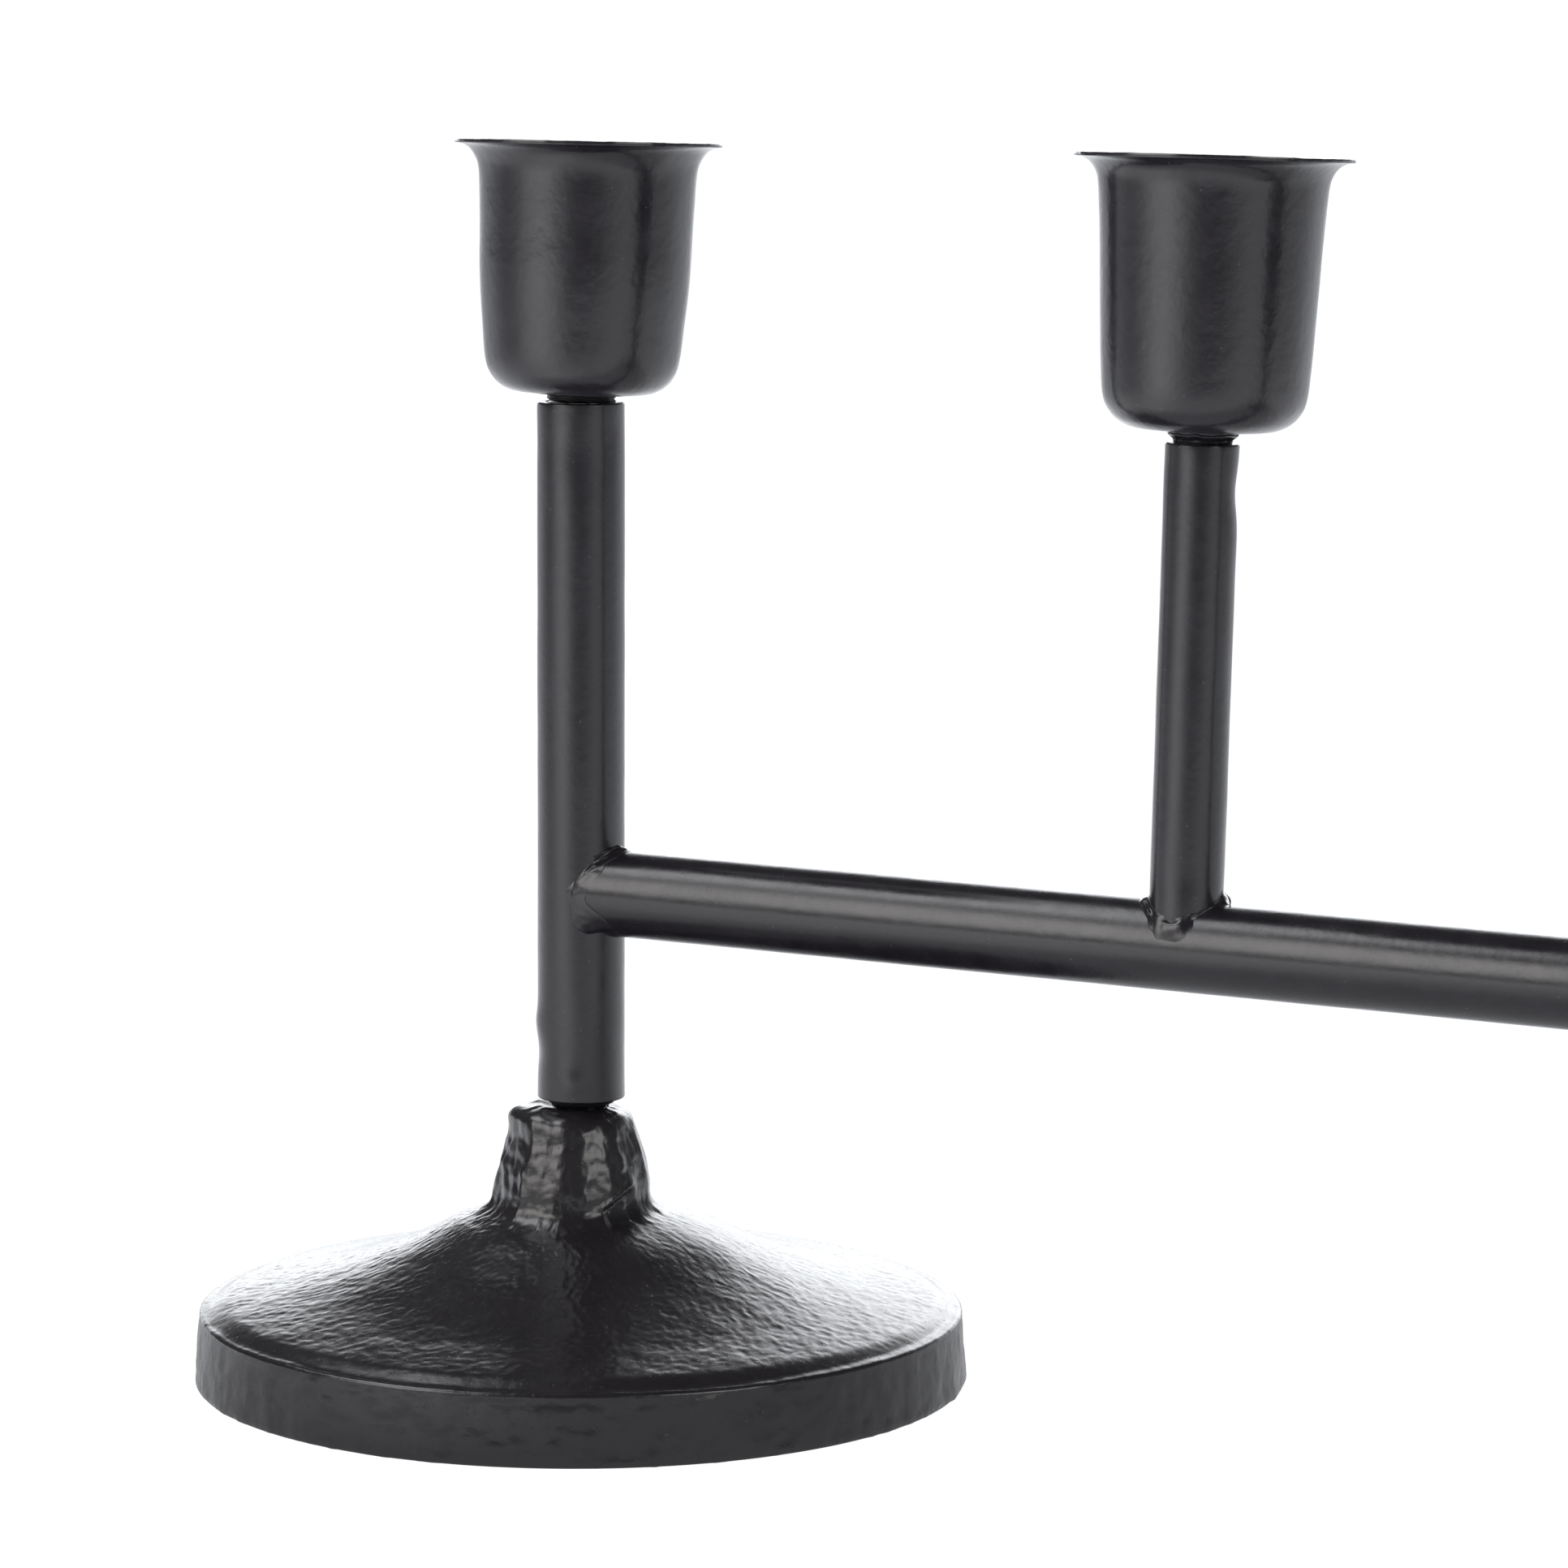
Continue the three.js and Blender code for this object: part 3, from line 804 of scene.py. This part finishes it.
def felt_pad(name, node, seed):
    """A cut disc of pressed felt with a soft edge, glued level with the rim."""
    low, high = box_mm(node)
    middle = (low + high) / 2
    edge = (high[0] - low[0]) / 2
    outline = rounded_outline(
        [(0.3, low[2], 0), (edge, low[2], 0.35), (edge, high[2], 0.3), (0.3, high[2], 0)], 0.8
    )
    radius, angle, height = revolve(outline, around=260)
    fuzz = Noise(seed).layered(cartesian(radius, angle, height) * 0.9, 3)
    height = np.clip(height + np.where(height < 0.5, 0.10 * np.abs(fuzz), 0.06 * fuzz), 0, high[2])
    radius = np.minimum(radius + 0.12 * fuzz * (radius > edge - 0.8), edge)
    moved = cartesian(radius, angle, height) + [middle[0], middle[1], 0]
    make_mesh(name, moved, FELT, [node], capped=True)


def thread_radius(angle, height, pitch, crest, depth):
    """Radius of a right-hand V thread with slightly blunt crests."""
    phase = (height / pitch - angle / TAU) % 1
    vee = np.abs(phase * 2 - 1)
    return crest - depth * smooth(0.08, 0.92, vee)


def foot_stud(name, node, post):
    """The M6 stud, its thread softened by paint where it shows between boss and post."""
    low, high = box_mm(node)
    middle = (low + high) / 2
    crest = (high[1] - low[1]) / 2
    levels = np.arange(low[2], high[2] + 1e-6, 0.125)
    levels[-1] = high[2]
    _, angle, height = revolve(np.stack([levels, levels], 1), around=72)
    radius = thread_radius(angle, height, pitch=1.0, crest=crest, depth=0.55)
    # Where it enters the post the paint has built up over a worn flare of the thread.
    post_end = box_mm(post)[0][2] - POST_FOOT_DROP
    flare = smooth(post_end - 1.5, post_end - 0.2, height)
    flare *= smooth(post_end + 0.4, post_end + 0.1, height)
    radius = radius + flare * (crest + 0.92 - radius) * (0.86 + 0.14 * np.cos(height / 0.5 * TAU))
    for end in (low[2], high[2]):
        radius = np.minimum(radius, crest - 0.6 + np.abs(height - end) * 1.2)
    moved = cartesian(radius, angle, height) + [middle[0], middle[1], 0]
    make_mesh(name, moved, PAINT, [node], smooth_angle=50, capped=True)


# ---------------- posts and crossbar


def tube_points(radius, start, end, around, step, fillets=(0.15, 0.22)):
    """Radius, angle and height over a closed tube wall along Z.

    fillets soften the inner and the outer edge of its ends."""
    bore, middle = radius - TUBE_WALL, (start + end) / 2
    inner, outer = fillets
    outline = rounded_outline(
        [
            (bore, middle, 0), (bore, start, inner), (radius, start, outer), (radius, end, outer),
            (bore, end, inner), (bore, middle, 0),
        ],
        step,
    )[:-1]
    return revolve(outline, around)


def dents(angle, height, marks):
    """Sum of shallow dents: each is (heading, height, half width in degrees, half height, depth)."""
    total = np.zeros_like(height)
    for heading, level, wide, tall, depth in marks:
        total -= depth * bump(angle_gap(angle, heading), 0, wide) * bump(height, level, tall)
    return total


def post(arm, marks, seed):
    """A post in its own leaning frame, from marks measured up from the crossbar's centre line."""
    node = post_name(arm)
    foot, up, top = arm_axis(arm)
    end = arm in END_ARMS
    radius = END_PAINTED if end else INNER_PAINTED
    start = box_mm(node)[0][2] - POST_FOOT_DROP - BAR_Z if end else 0.0
    r, angle, height = tube_points(radius, start, top, around=96, step=0.5)
    outer = smooth(radius - 0.6, radius - 0.1, r)
    wave = Noise(seed)
    bent = 0.05 * wave.layered(cartesian(0.8, angle, height * 0.09), 2)
    ends = bump(height, top, 5) + (bump(height, start, 5) if end else 0)
    bent += 0.13 * ends * wave(cartesian(1.1, angle, height * 0.16) + 8)
    bent += dents(angle, height, marks)
    burr = wave(cartesian(5, angle, height))
    bent += 0.05 * burr * (bump(height, top, 0.3) + bump(height, start, 0.3))
    r = r + bent * outer
    ragged = 0.06 * burr * (bump(height, top, 0.35) + bump(height, start, 0.35))
    local = cartesian(r, angle, height + ragged)
    if not end:
        local = saddle_foot(local)
    make_mesh(
        f"{node}_tube", stood(local, up, foot), PAINT, [node], smooth_angle=50
    )


def saddle_foot(local):
    """Squeezes the foot of an inner post up so that it ends on the crossbar's top."""
    across = np.clip(np.abs(local[..., 1]), 0, BAR_R - 0.05)
    seat = np.sqrt(BAR_R ** 2 - across ** 2) - 0.15
    reach = BAR_R + 4
    t = np.clip(local[..., 2] / reach, 0, 1)
    out = local.copy()
    out[..., 2] = np.where(local[..., 2] < reach, seat + t * (reach - seat), local[..., 2])
    return out


def crossbar(seed):
    """The bar from post to post, its ends notched to them, with a slight waver in its wall."""
    length = RIGHT_X - LEFT_X
    r, angle, along = tube_points(BAR_R, 0, length, around=112, step=0.8, fillets=(0, 0))
    outer = smooth(BAR_R - 0.6, BAR_R - 0.1, r)
    r = r + outer * 0.045 * Noise(seed).layered(cartesian(0.7, angle, along * 0.045), 2)
    across = r * np.cos(angle)
    notch = np.sqrt(np.maximum(END_R ** 2 - np.clip(across, -END_R, END_R) ** 2, 0)) - 0.12
    notch = np.maximum(notch, 0)
    squeeze = 12.0
    from_left, from_right = (
        np.where(gap < squeeze, notch + gap / squeeze * (squeeze - notch), gap)
        for gap in (along, length - along)
    )
    placed_x = np.where(along < length / 2, LEFT_X + from_left, RIGHT_X - from_right)
    points = np.stack([placed_x, across, r * np.sin(angle) + BAR_Z], -1)
    make_mesh("crossbar_tube", points, PAINT, ["crossbar"], smooth_angle=50)


# ---------------- welds


def bezier(a, b, c, t):
    return (1 - t) ** 2 * a + 2 * t * (1 - t) * b + t ** 2 * c


BEAD_ROWS = 25


def weld_skin(arm, seam, on_post, on_bar, swell, inward, seed, hills, extra=None):
    """A bead along a seam between two tubes.

    seam, on_post and on_bar are closed rings of points (around, 3): where the tubes meet, and
    where the bead dies out on each. swell moves the bead's middle out of the corner, inward is
    the direction into the metal, and hills (rows, around) raises or sinks the bead's face."""
    t = np.linspace(0, 1, BEAD_ROWS)[:, None, None]
    face = bezier(on_post, seam + swell, on_bar, t)
    middle = 4 * t * (1 - t)
    lift = middle * 0.12 * Noise(seed).layered(face * 0.6, 2)[..., None]
    lift = lift + hills[:, :, None] * np.minimum(1, middle * 2.5)
    face = face - inward * lift
    t_back = np.linspace(1, 0, 5)[1:-1, None, None]
    back = bezier(on_post, seam, on_bar, t_back) + inward * 0.55
    first, last = (on_bar + inward * 0.33)[None], (on_post + inward * 0.33)[None]
    points = np.concatenate([face, first, back, last])
    node = f"post_weld_{arm}"
    make_mesh(f"{node}_bead", points, PAINT, [node], extra=extra)


def ring_noise(angle, seed, pace=2.0):
    """A smooth random value round a ring."""
    return Noise(seed).layered(cartesian(pace, angle, seed * 3.7), 2)


def bead_hills(angle, marks):
    """Hills and hollows on a bead: (heading, width, place from post 0 to bar 1, reach, height in mm)."""
    t = np.linspace(0, 1, BEAD_ROWS)[:, None]
    total = np.zeros((BEAD_ROWS, len(angle)))
    for heading, width, place, reach, rise in marks:
        total += rise * bump(angle_gap(angle, heading), 0, width)[None] * bump(t, place, reach)
    return total


def spatter(start, end, radius, out):
    """A sliver of weld spatter from start to end, as points and faces of a bent spindle."""
    rows, columns = 9, 8
    t = np.linspace(0, 1, rows)
    axis = unit(end - start)
    side = unit(np.cross(axis, out))
    points = []
    for value in t:
        middle = start + (end - start) * value + out * 0.25 * math.sin(math.pi * value)
        size = radius * (0.12 + math.sin(math.pi * min(value * 1.25, 1)) ** 0.7)
        for k in range(columns):
            turn = TAU * k / columns
            points.append(middle + size * (math.cos(turn) * side + 0.55 * math.sin(turn) * out))
    return np.array(points), closed_grid_faces(rows, columns)


def inner_weld(arm, seed, table, marks=(), sliver=False):
    """The bead where an inner post stands astride the crossbar.

    table rows are heading, climb up the post, spread over the bar and fullness, in mm."""
    foot, up, _ = arm_axis(arm)
    angle = ring_angles(300)
    rim = INNER_PAINTED * np.stack([np.cos(angle), np.sin(angle)], -1)
    climb, spread, fullness = around_ring(angle, table)
    climb = np.maximum(climb + 0.25 * ring_noise(angle, seed), 0.15)
    spread = np.maximum(spread + 0.3 * ring_noise(angle, seed + 1), 0.2)
    fullness = fullness + 0.15 * ring_noise(angle, seed + 2, 3.0)
    seam = np.stack([rim[:, 0], rim[:, 1], np.sqrt(BAR_R ** 2 - rim[:, 1] ** 2)], -1)
    on_post = seam + [0, 0, 1] * climb[:, None]
    lean_x = rim[:, 0] + spread * np.cos(angle)
    # Round the bar's sides the bead runs down the bar, so its reach is an angle about the bar.
    roll = np.arcsin(rim[:, 1] / BAR_R) + spread * np.sin(angle) / BAR_R
    on_bar = np.stack([lean_x, BAR_R * np.sin(roll), BAR_R * np.cos(roll)], -1)
    outward = unit(cartesian(1, angle, 0.9))
    swell = outward * (fullness * 0.8)[:, None]
    extra = None
    if sliver:
        low, high = np.array([4.9, 0.9, 4.9]), np.array([4.15, 0.8, 6.35])
        points, faces = spatter(low, high, 0.16, unit([1, 0.1, 0.3]))
        extra = stood(points, up, foot), faces
    seam, on_post, on_bar = (stood(ring, up, foot) for ring in (seam, on_post, on_bar))
    hills = bead_hills(angle, marks)
    weld_skin(arm, seam, on_post, on_bar, stood(swell, up), stood(-outward, up), seed, hills, extra)


def end_weld(arm, seed, post_edge, table, marks=(), mirror=1):
    """The bead where the crossbar's notched end meets an end post.

    Headings run round the bar from +Y by the top. post_edge rows are heading, then the angle round
    the post from the bar's side and the height where the bead dies out. table rows are heading,
    spread along the bar and fullness."""
    side = 1 if arm == 1 else -1
    angle = ring_angles(320)
    across = BAR_R * np.cos(angle)
    high = BAR_R * np.sin(angle)
    seam = np.stack([np.sqrt(END_PAINTED ** 2 - across ** 2), across, high], -1)
    wrap, level = around_ring(angle, post_edge)
    wrap = np.radians(wrap) + 0.03 * ring_noise(angle, seed)
    level = level + 0.12 * ring_noise(angle, seed + 3, 4.0)
    on_post = cartesian(END_PAINTED, wrap, level)
    spread, fullness = around_ring(angle, table)
    spread = spread + 0.3 * ring_noise(angle, seed + 1)
    fullness = fullness + 0.12 * ring_noise(angle, seed + 2, 3.0)
    on_bar = np.stack([seam[:, 0] + spread, across, high], -1)
    outward = unit(np.stack([np.full_like(angle, 0.8), np.cos(angle), np.sin(angle)], -1))
    swell = outward * (fullness * 0.8)[:, None]
    flip = np.array([side, mirror, 1])
    origin = np.array([ARM_X[arm - 1], 0, BAR_Z])
    seam, on_post, on_bar = (ring * flip + origin for ring in (seam, on_post, on_bar))
    hills = bead_hills(angle, marks)
    weld_skin(arm, seam, on_post, on_bar, swell * flip, -outward * flip, seed, hills)


# ---------------- cups


# The outside of each cup from its floor out to the lip, (radius, height) in mm.
END_CUP_SIDE = [
    (7.0, 0.0), (8.1, 0.1), (9.15, 0.55), (9.86, 1.12), (10.28, 1.7), (10.62, 2.36), (10.9, 3.28),
    (11.12, 4.67), (11.38, 7.44), (11.6, 9.7), (11.79, 12.06), (11.93, 14.8), (11.99, 18.0),
    (12.1, 21.3), (12.2, 23.8), (12.25, 24.6), (12.32, 25.25), (12.48, 25.95), (12.8, 26.65),
    (13.25, 27.33), (13.7, 27.72), (14.3, 27.97), (15.0, 28.06),
]
INNER_CUP_SIDE = [
    (7.0, 0.0), (8.0, 0.1), (8.97, 0.52), (9.72, 1.05), (10.2, 1.66), (10.66, 2.53), (10.97, 3.84),
    (11.2, 6.46), (11.33, 8.6), (11.44, 10.8), (11.66, 15.2), (11.84, 19.5), (12.04, 23.0),
    (12.2, 25.2), (12.29, 26.2), (12.44, 27.0), (12.74, 27.7), (13.1, 28.2), (13.55, 28.6),
    (14.15, 28.87), (14.9, 28.96),
]
# How far each lip tips from square to its cup, in degrees: up towards the camera's side, and up
# towards the image's right.
LIP_TIP = {1: (1.75, 0.8), 2: (1.75, 0.2), 3: (0.4, -0.3), 4: (-0.3, 0.2), 5: (0.5, 0.1)}


CUP_WALL = 0.66
CUP_BORE = 2.1


def cup_profile(side, height):
    """Closed outline of a cup: up the outside, round the sheared lip and down inside its wall."""
    rim = side[-1][0]
    outside = spline(side, 0.4)
    normal = outline_normals(outside)[1:-1]
    inside = outside[1:-1] - normal * CUP_WALL
    inside = inside[(inside[:, 1] > 0.75) & (inside[:, 1] < height - 0.5)][::-1]
    edge = (rim - 0.12, height)
    lip = np.array([(rim + 0.05, height - 0.18), (rim, height - 0.05), edge])
    flange = spline([edge, (14.0, height - 0.12), (13.1, height - 0.6), inside[0]], 0.35)[1:-1]
    floor = [(8.4, CUP_FLOOR + 0.02)]
    floor += [(radius, CUP_FLOOR) for radius in (7.6, 6.0, 4.0, CUP_BORE)]
    floor += [(CUP_BORE, 0.0), (4.5, 0.0)]
    inside = inside[inside[:, 0] > 8.5]
    return np.concatenate([outside, lip, flange, inside, floor])


def candle_cup(arm, seed):
    """A drawn cup: a trace of waver in the wall, and a lip that was sheared a little ragged."""
    node = f"candle_cup_{arm}"
    end = arm in END_ARMS
    height_all = END_CUP_HEIGHT if end else INNER_CUP_HEIGHT
    outline = cup_profile(END_CUP_SIDE if end else INNER_CUP_SIDE, height_all)
    r, angle, height = revolve(outline, around=288)
    wave = Noise(seed)
    body = smooth(9.5, 11, r)
    waver = wave.layered(cartesian(0.9, angle, height * 0.05), 2)
    r = r + 0.13 * body
    r = r + 0.05 * body * waver
    ragged = wave.layered(cartesian(7, angle, 0), 3)
    sway = wave(cartesian(1.2, angle, 5))
    lip = smooth(13.0, 15.0, r)
    r = r + lip * (0.10 * ragged + 0.12 * sway)
    height = height + lip * (0.04 * ragged + 0.08 * sway)
    top, up, rise = cup_axis(arm)
    across = stood(cartesian(r, angle, 0), up)
    for heading, tip in zip((CAMERA_SIDE, IMAGE_RIGHT), LIP_TIP[arm]):
        lift = math.tan(math.radians(tip)) * (across @ heading_vector(heading))
        height = height + lift * smooth(height_all - 9, height_all - 1, height)
    placed = stood(cartesian(r, angle, height) + [0, 0, rise], up, top)
    make_mesh(f"{node}_shell", placed, CUP_PAINT, [node], smooth_angle=45)


def cup_collar(arm, seed):
    """The collar under a cup: a painted thread end on the end posts, a squeezed lip on the others."""
    node = f"cup_collar_{arm}"
    top, up, rise = cup_axis(arm)
    if arm in END_ARMS:
        crest = 4.03
        side = [
            (crest - 0.45, 0.02, 0.1), (crest - 0.05, 0.3, 0.1), (crest - 0.3, 0.48, 0.06),
            (crest, 0.62, 0.08), (crest - 0.25, 0.8, 0.06), (crest - 0.02, 0.95, 0.06),
            (crest - 0.1, rise, 0),
        ]
    else:
        crest = 3.88
        side = [
            (3.2, 0.02, 0.1), (3.3, 0.45, 0.3), (3.75, 0.78, 0.15), (crest, 0.95, 0.08),
            (crest - 0.12, 1.12, 0.08), (crest - 0.02, 1.3, 0.1), (crest - 0.08, rise, 0),
        ]
    low = (CUP_BORE, 0.02, 0)
    outline = rounded_outline([low, *side, (CUP_BORE, rise, 0), low], 0.1)[:-1]
    r, angle, height = revolve(outline, around=120)
    wave = Noise(seed)
    ring = cartesian(2.2, angle, 0)
    outer = smooth(3.0, 3.4, r)
    inside = smooth(0.02, 0.3, height) * smooth(rise, rise - 0.3, height)
    height = height + 0.22 * wave.layered(ring, 2) * outer * inside
    r = r + 0.06 * wave(ring * 1.7 + 4) * outer
    placed = stood(cartesian(r, angle, height), up, top)
    make_mesh(f"{node}_ring", placed, PAINT, [node])


def cup_screw(arm, turn):
    """A pan-head screw with a cross recess and a real thread, turned as its driver left it."""
    node = f"cup_screw_{arm}"
    top, up, rise = cup_axis(arm)
    shank, crest = 11.0, 2.0
    shank_rows = np.arange(-shank, -0.6, 0.12)
    head = rounded_outline(
        [
            (1.6, -0.55, 0), (crest, -0.05, 0), (4.0, 0.0, 0.12), (4.0, 1.25, 0.5), (3.2, 2.4, 1.0),
            (0.05, 2.4, 0),
        ],
        0.16,
    )
    rows = np.stack([np.full(len(shank_rows), crest), shank_rows], 1)
    r, angle, height = revolve(np.concatenate([rows, head]), around=96)
    cutting = thread_radius(angle, height, pitch=0.7, crest=crest, depth=0.4)
    cutting = np.minimum(cutting, 1.4 + (height + shank) * 1.2)
    threaded = np.arange(len(r)) < len(shank_rows)
    r = np.where(threaded[:, None], cutting, r)
    x = r * np.cos(angle + turn)
    y = r * np.sin(angle + turn)
    slot_width = 0.55
    cross = np.maximum(*(
        smooth(slot_width, slot_width - 0.2, np.abs(a)) * smooth(1.8, 1.5, np.abs(b))
        for a, b in ((x, y), (y, x))
    ))
    recess = 1.25 * cross * smooth(2.0, 0.3, np.hypot(x, y)) ** 0.5
    height = height - np.where(height > 2.2, recess, 0)
    placed = stood(cartesian(r, angle, height) + [0, 0, rise + CUP_FLOOR], up, top)
    make_mesh(
        f"{node}_pan_head", placed, ZINC, [node], smooth_angle=35, capped=True
    )


# ---------------- assembly

# Dents (heading, height above the crossbar's centre, half width, half height, depth in mm).
POST_DENTS = {
    1: [
        (CAMERA_SIDE + 10, 51.0, 30, 4.0, 0.12), (CAMERA_SIDE - 30, 48.0, 25, 3.5, -0.07),
        (IMAGE_LEFT + 5, -15.3, 26, 1.6, -0.22), (IMAGE_LEFT + 15, -19.0, 26, 1.7, 0.16),
        (CAMERA_SIDE - 12, -22.0, 16, 1.6, -0.2), (CAMERA_SIDE + 14, -15.0, 20, 4.5, -0.07),
        (CAMERA_SIDE - 34, -15.0, 22, 5.0, 0.07),
    ],
    2: [
        (IMAGE_RIGHT - 4, 50.0, 30, 2.6, 0.34), (IMAGE_RIGHT - 30, 44.5, 30, 3.0, -0.06),
        (CAMERA_SIDE - 20, 8.0, 30, 3.0, 0.08),
    ],
    3: [(200, 49.0, 30, 3.0, 0.2), (20, 47.0, 30, 3.0, 0.12)],
    4: [(-40, 50.0, 30, 3.0, 0.22), (140, 48.0, 30, 3.0, 0.14)],
    5: [
        (70, 50.5, 30, 3.5, 0.16), (-120, 51.5, 30, 3.5, 0.12), (10, -18.0, 28, 2.0, 0.18),
        (190, -16.0, 28, 2.5, 0.14),
    ],
}

# The first end bead: heading round the bar, then (angle round the post, height) of its edge.
END_BEAD_EDGE = [
    (0, 76, 0.0), (30, 62, 3.0), (60, 36, 4.75), (90, 0, 5.6), (105, -16, 5.4), (120, -31, 5.0),
    (134, -42, 4.55), (142, -47, 3.9), (150, -56, 3.1), (161, -66.3, 1.95), (174, -70.8, 0.4),
    (188, -70.8, -1.5), (200, -69.7, -2.95), (212, -62, -3.85), (221, -53, -4.3), (230, -45, -4.32),
    (238, -37, -3.97), (246, -27.6, -4.22), (257, -16, -4.75), (270, 1.4, -5.1), (300, 35, -4.6),
    (330, 62, -2.9),
]
END_BEAD = [
    (0, 0.8, 0.3), (60, 0.9, 0.35), (90, 1.5, 0.35), (125, 1.3, 0.25), (150, 2.4, 0.3), (180, 2.8, 0.35),
    (205, 3.2, 0.5), (225, 2.8, 0.6), (245, 1.4, 0.45), (270, 1.0, 0.35), (315, 0.9, 0.3),
]
END_BEAD_HILLS = [
    (112, 26, 0.1, 0.12, 0.22), (128, 10, 0.5, 0.25, -0.28), (148, 10, 0.62, 0.2, 0.14),
    (142, 7, 0.42, 0.12, -0.1), (88, 12, 0.6, 0.2, 0.18), (240, 10, 0.35, 0.2, -0.1),
]
# Inner beads: heading round the post, climb, spread and fullness.
INNER_BEAD = [
    (-128, 0.6, 0.7, 0.3), (-112, 0.8, 1.4, 0.5), (-95, 0.95, 2.1, 0.6), (-74, 0.85, 2.3, 0.6),
    (-58, 0.6, 2.0, 0.35), (-44, 0.35, 1.2, 0.05), (-25, 0.6, 0.6, 0.05), (-4, 0.9, 0.9, 0.1),
    (12, 1.8, 1.9, 0.05), (40, 1.0, 1.2, 0.2), (90, 0.9, 0.8, 0.4), (150, 1.0, 1.1, 0.3),
    (200, 0.8, 1.2, 0.2), (220, 0.7, 0.7, 0.25),
]
INNER_BEAD_HILLS = [
    (-88, 10, 0.22, 0.14, -0.28), (-80, 24, 0.55, 0.25, 0.14), (-36, 20, 0.1, 0.14, 0.2),
    (-50, 12, 0.5, 0.2, -0.25), (-132, 9, 0.6, 0.2, 0.22), (-146, 7, 0.4, 0.15, -0.18),
    (-160, 9, 0.65, 0.2, 0.2), (20, 9, 0.3, 0.15, 0.18),
]


def turned(table, degrees):
    return [(row[0] + degrees, *row[1:]) for row in table]


def dress_hidden_hardware():
    """Washers, nuts and threaded bushes keep their CAD shape, under zinc plate."""
    hidden = ("_foot_washer", "_foot_nut", "_foot_insert")
    for name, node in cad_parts.items():
        if name.endswith(hidden) or name.startswith("post_insert_"):
            node.data.materials.clear()
            node.data.materials.append(ZINC)


def build_object():
    base_casting("left_base_cast", "left_base_casting", "left_foot_stud", 11, CAMERA_SIDE)
    base_casting("right_base_cast", "right_base_casting", "right_foot_stud", 57, CAMERA_SIDE + 150)
    for side, end_post, seed in (("left", "end_post_1", 71), ("right", "end_post_5", 72)):
        felt_pad(f"{side}_felt_disc", f"{side}_felt_pad", seed)
        foot_stud(f"{side}_foot_thread", f"{side}_foot_stud", end_post)
    crossbar(31)
    for arm in range(1, ARMS + 1):
        post(arm, POST_DENTS[arm], 100 + arm)
        candle_cup(arm, 200 + arm)
        cup_collar(arm, 300 + arm)
        cup_screw(arm, 0.7 * arm)
    end_weld(1, 401, END_BEAD_EDGE, END_BEAD, END_BEAD_HILLS)
    end_weld(5, 415, END_BEAD_EDGE, END_BEAD, turned(END_BEAD_HILLS, 40), mirror=-1)
    inner_weld(2, 402, INNER_BEAD, INNER_BEAD_HILLS, sliver=True)
    inner_weld(3, 403, turned(INNER_BEAD, 180), turned(INNER_BEAD_HILLS, 140))
    inner_weld(4, 404, turned(INNER_BEAD, 180), turned(INNER_BEAD_HILLS, 215))
    dress_hidden_hardware()


add_camera()
add_floor()
add_world()
for softbox in SOFTBOXES:
    add_softbox(*softbox)
bpy.context.scene.view_settings.view_transform = "Standard"
build_object()
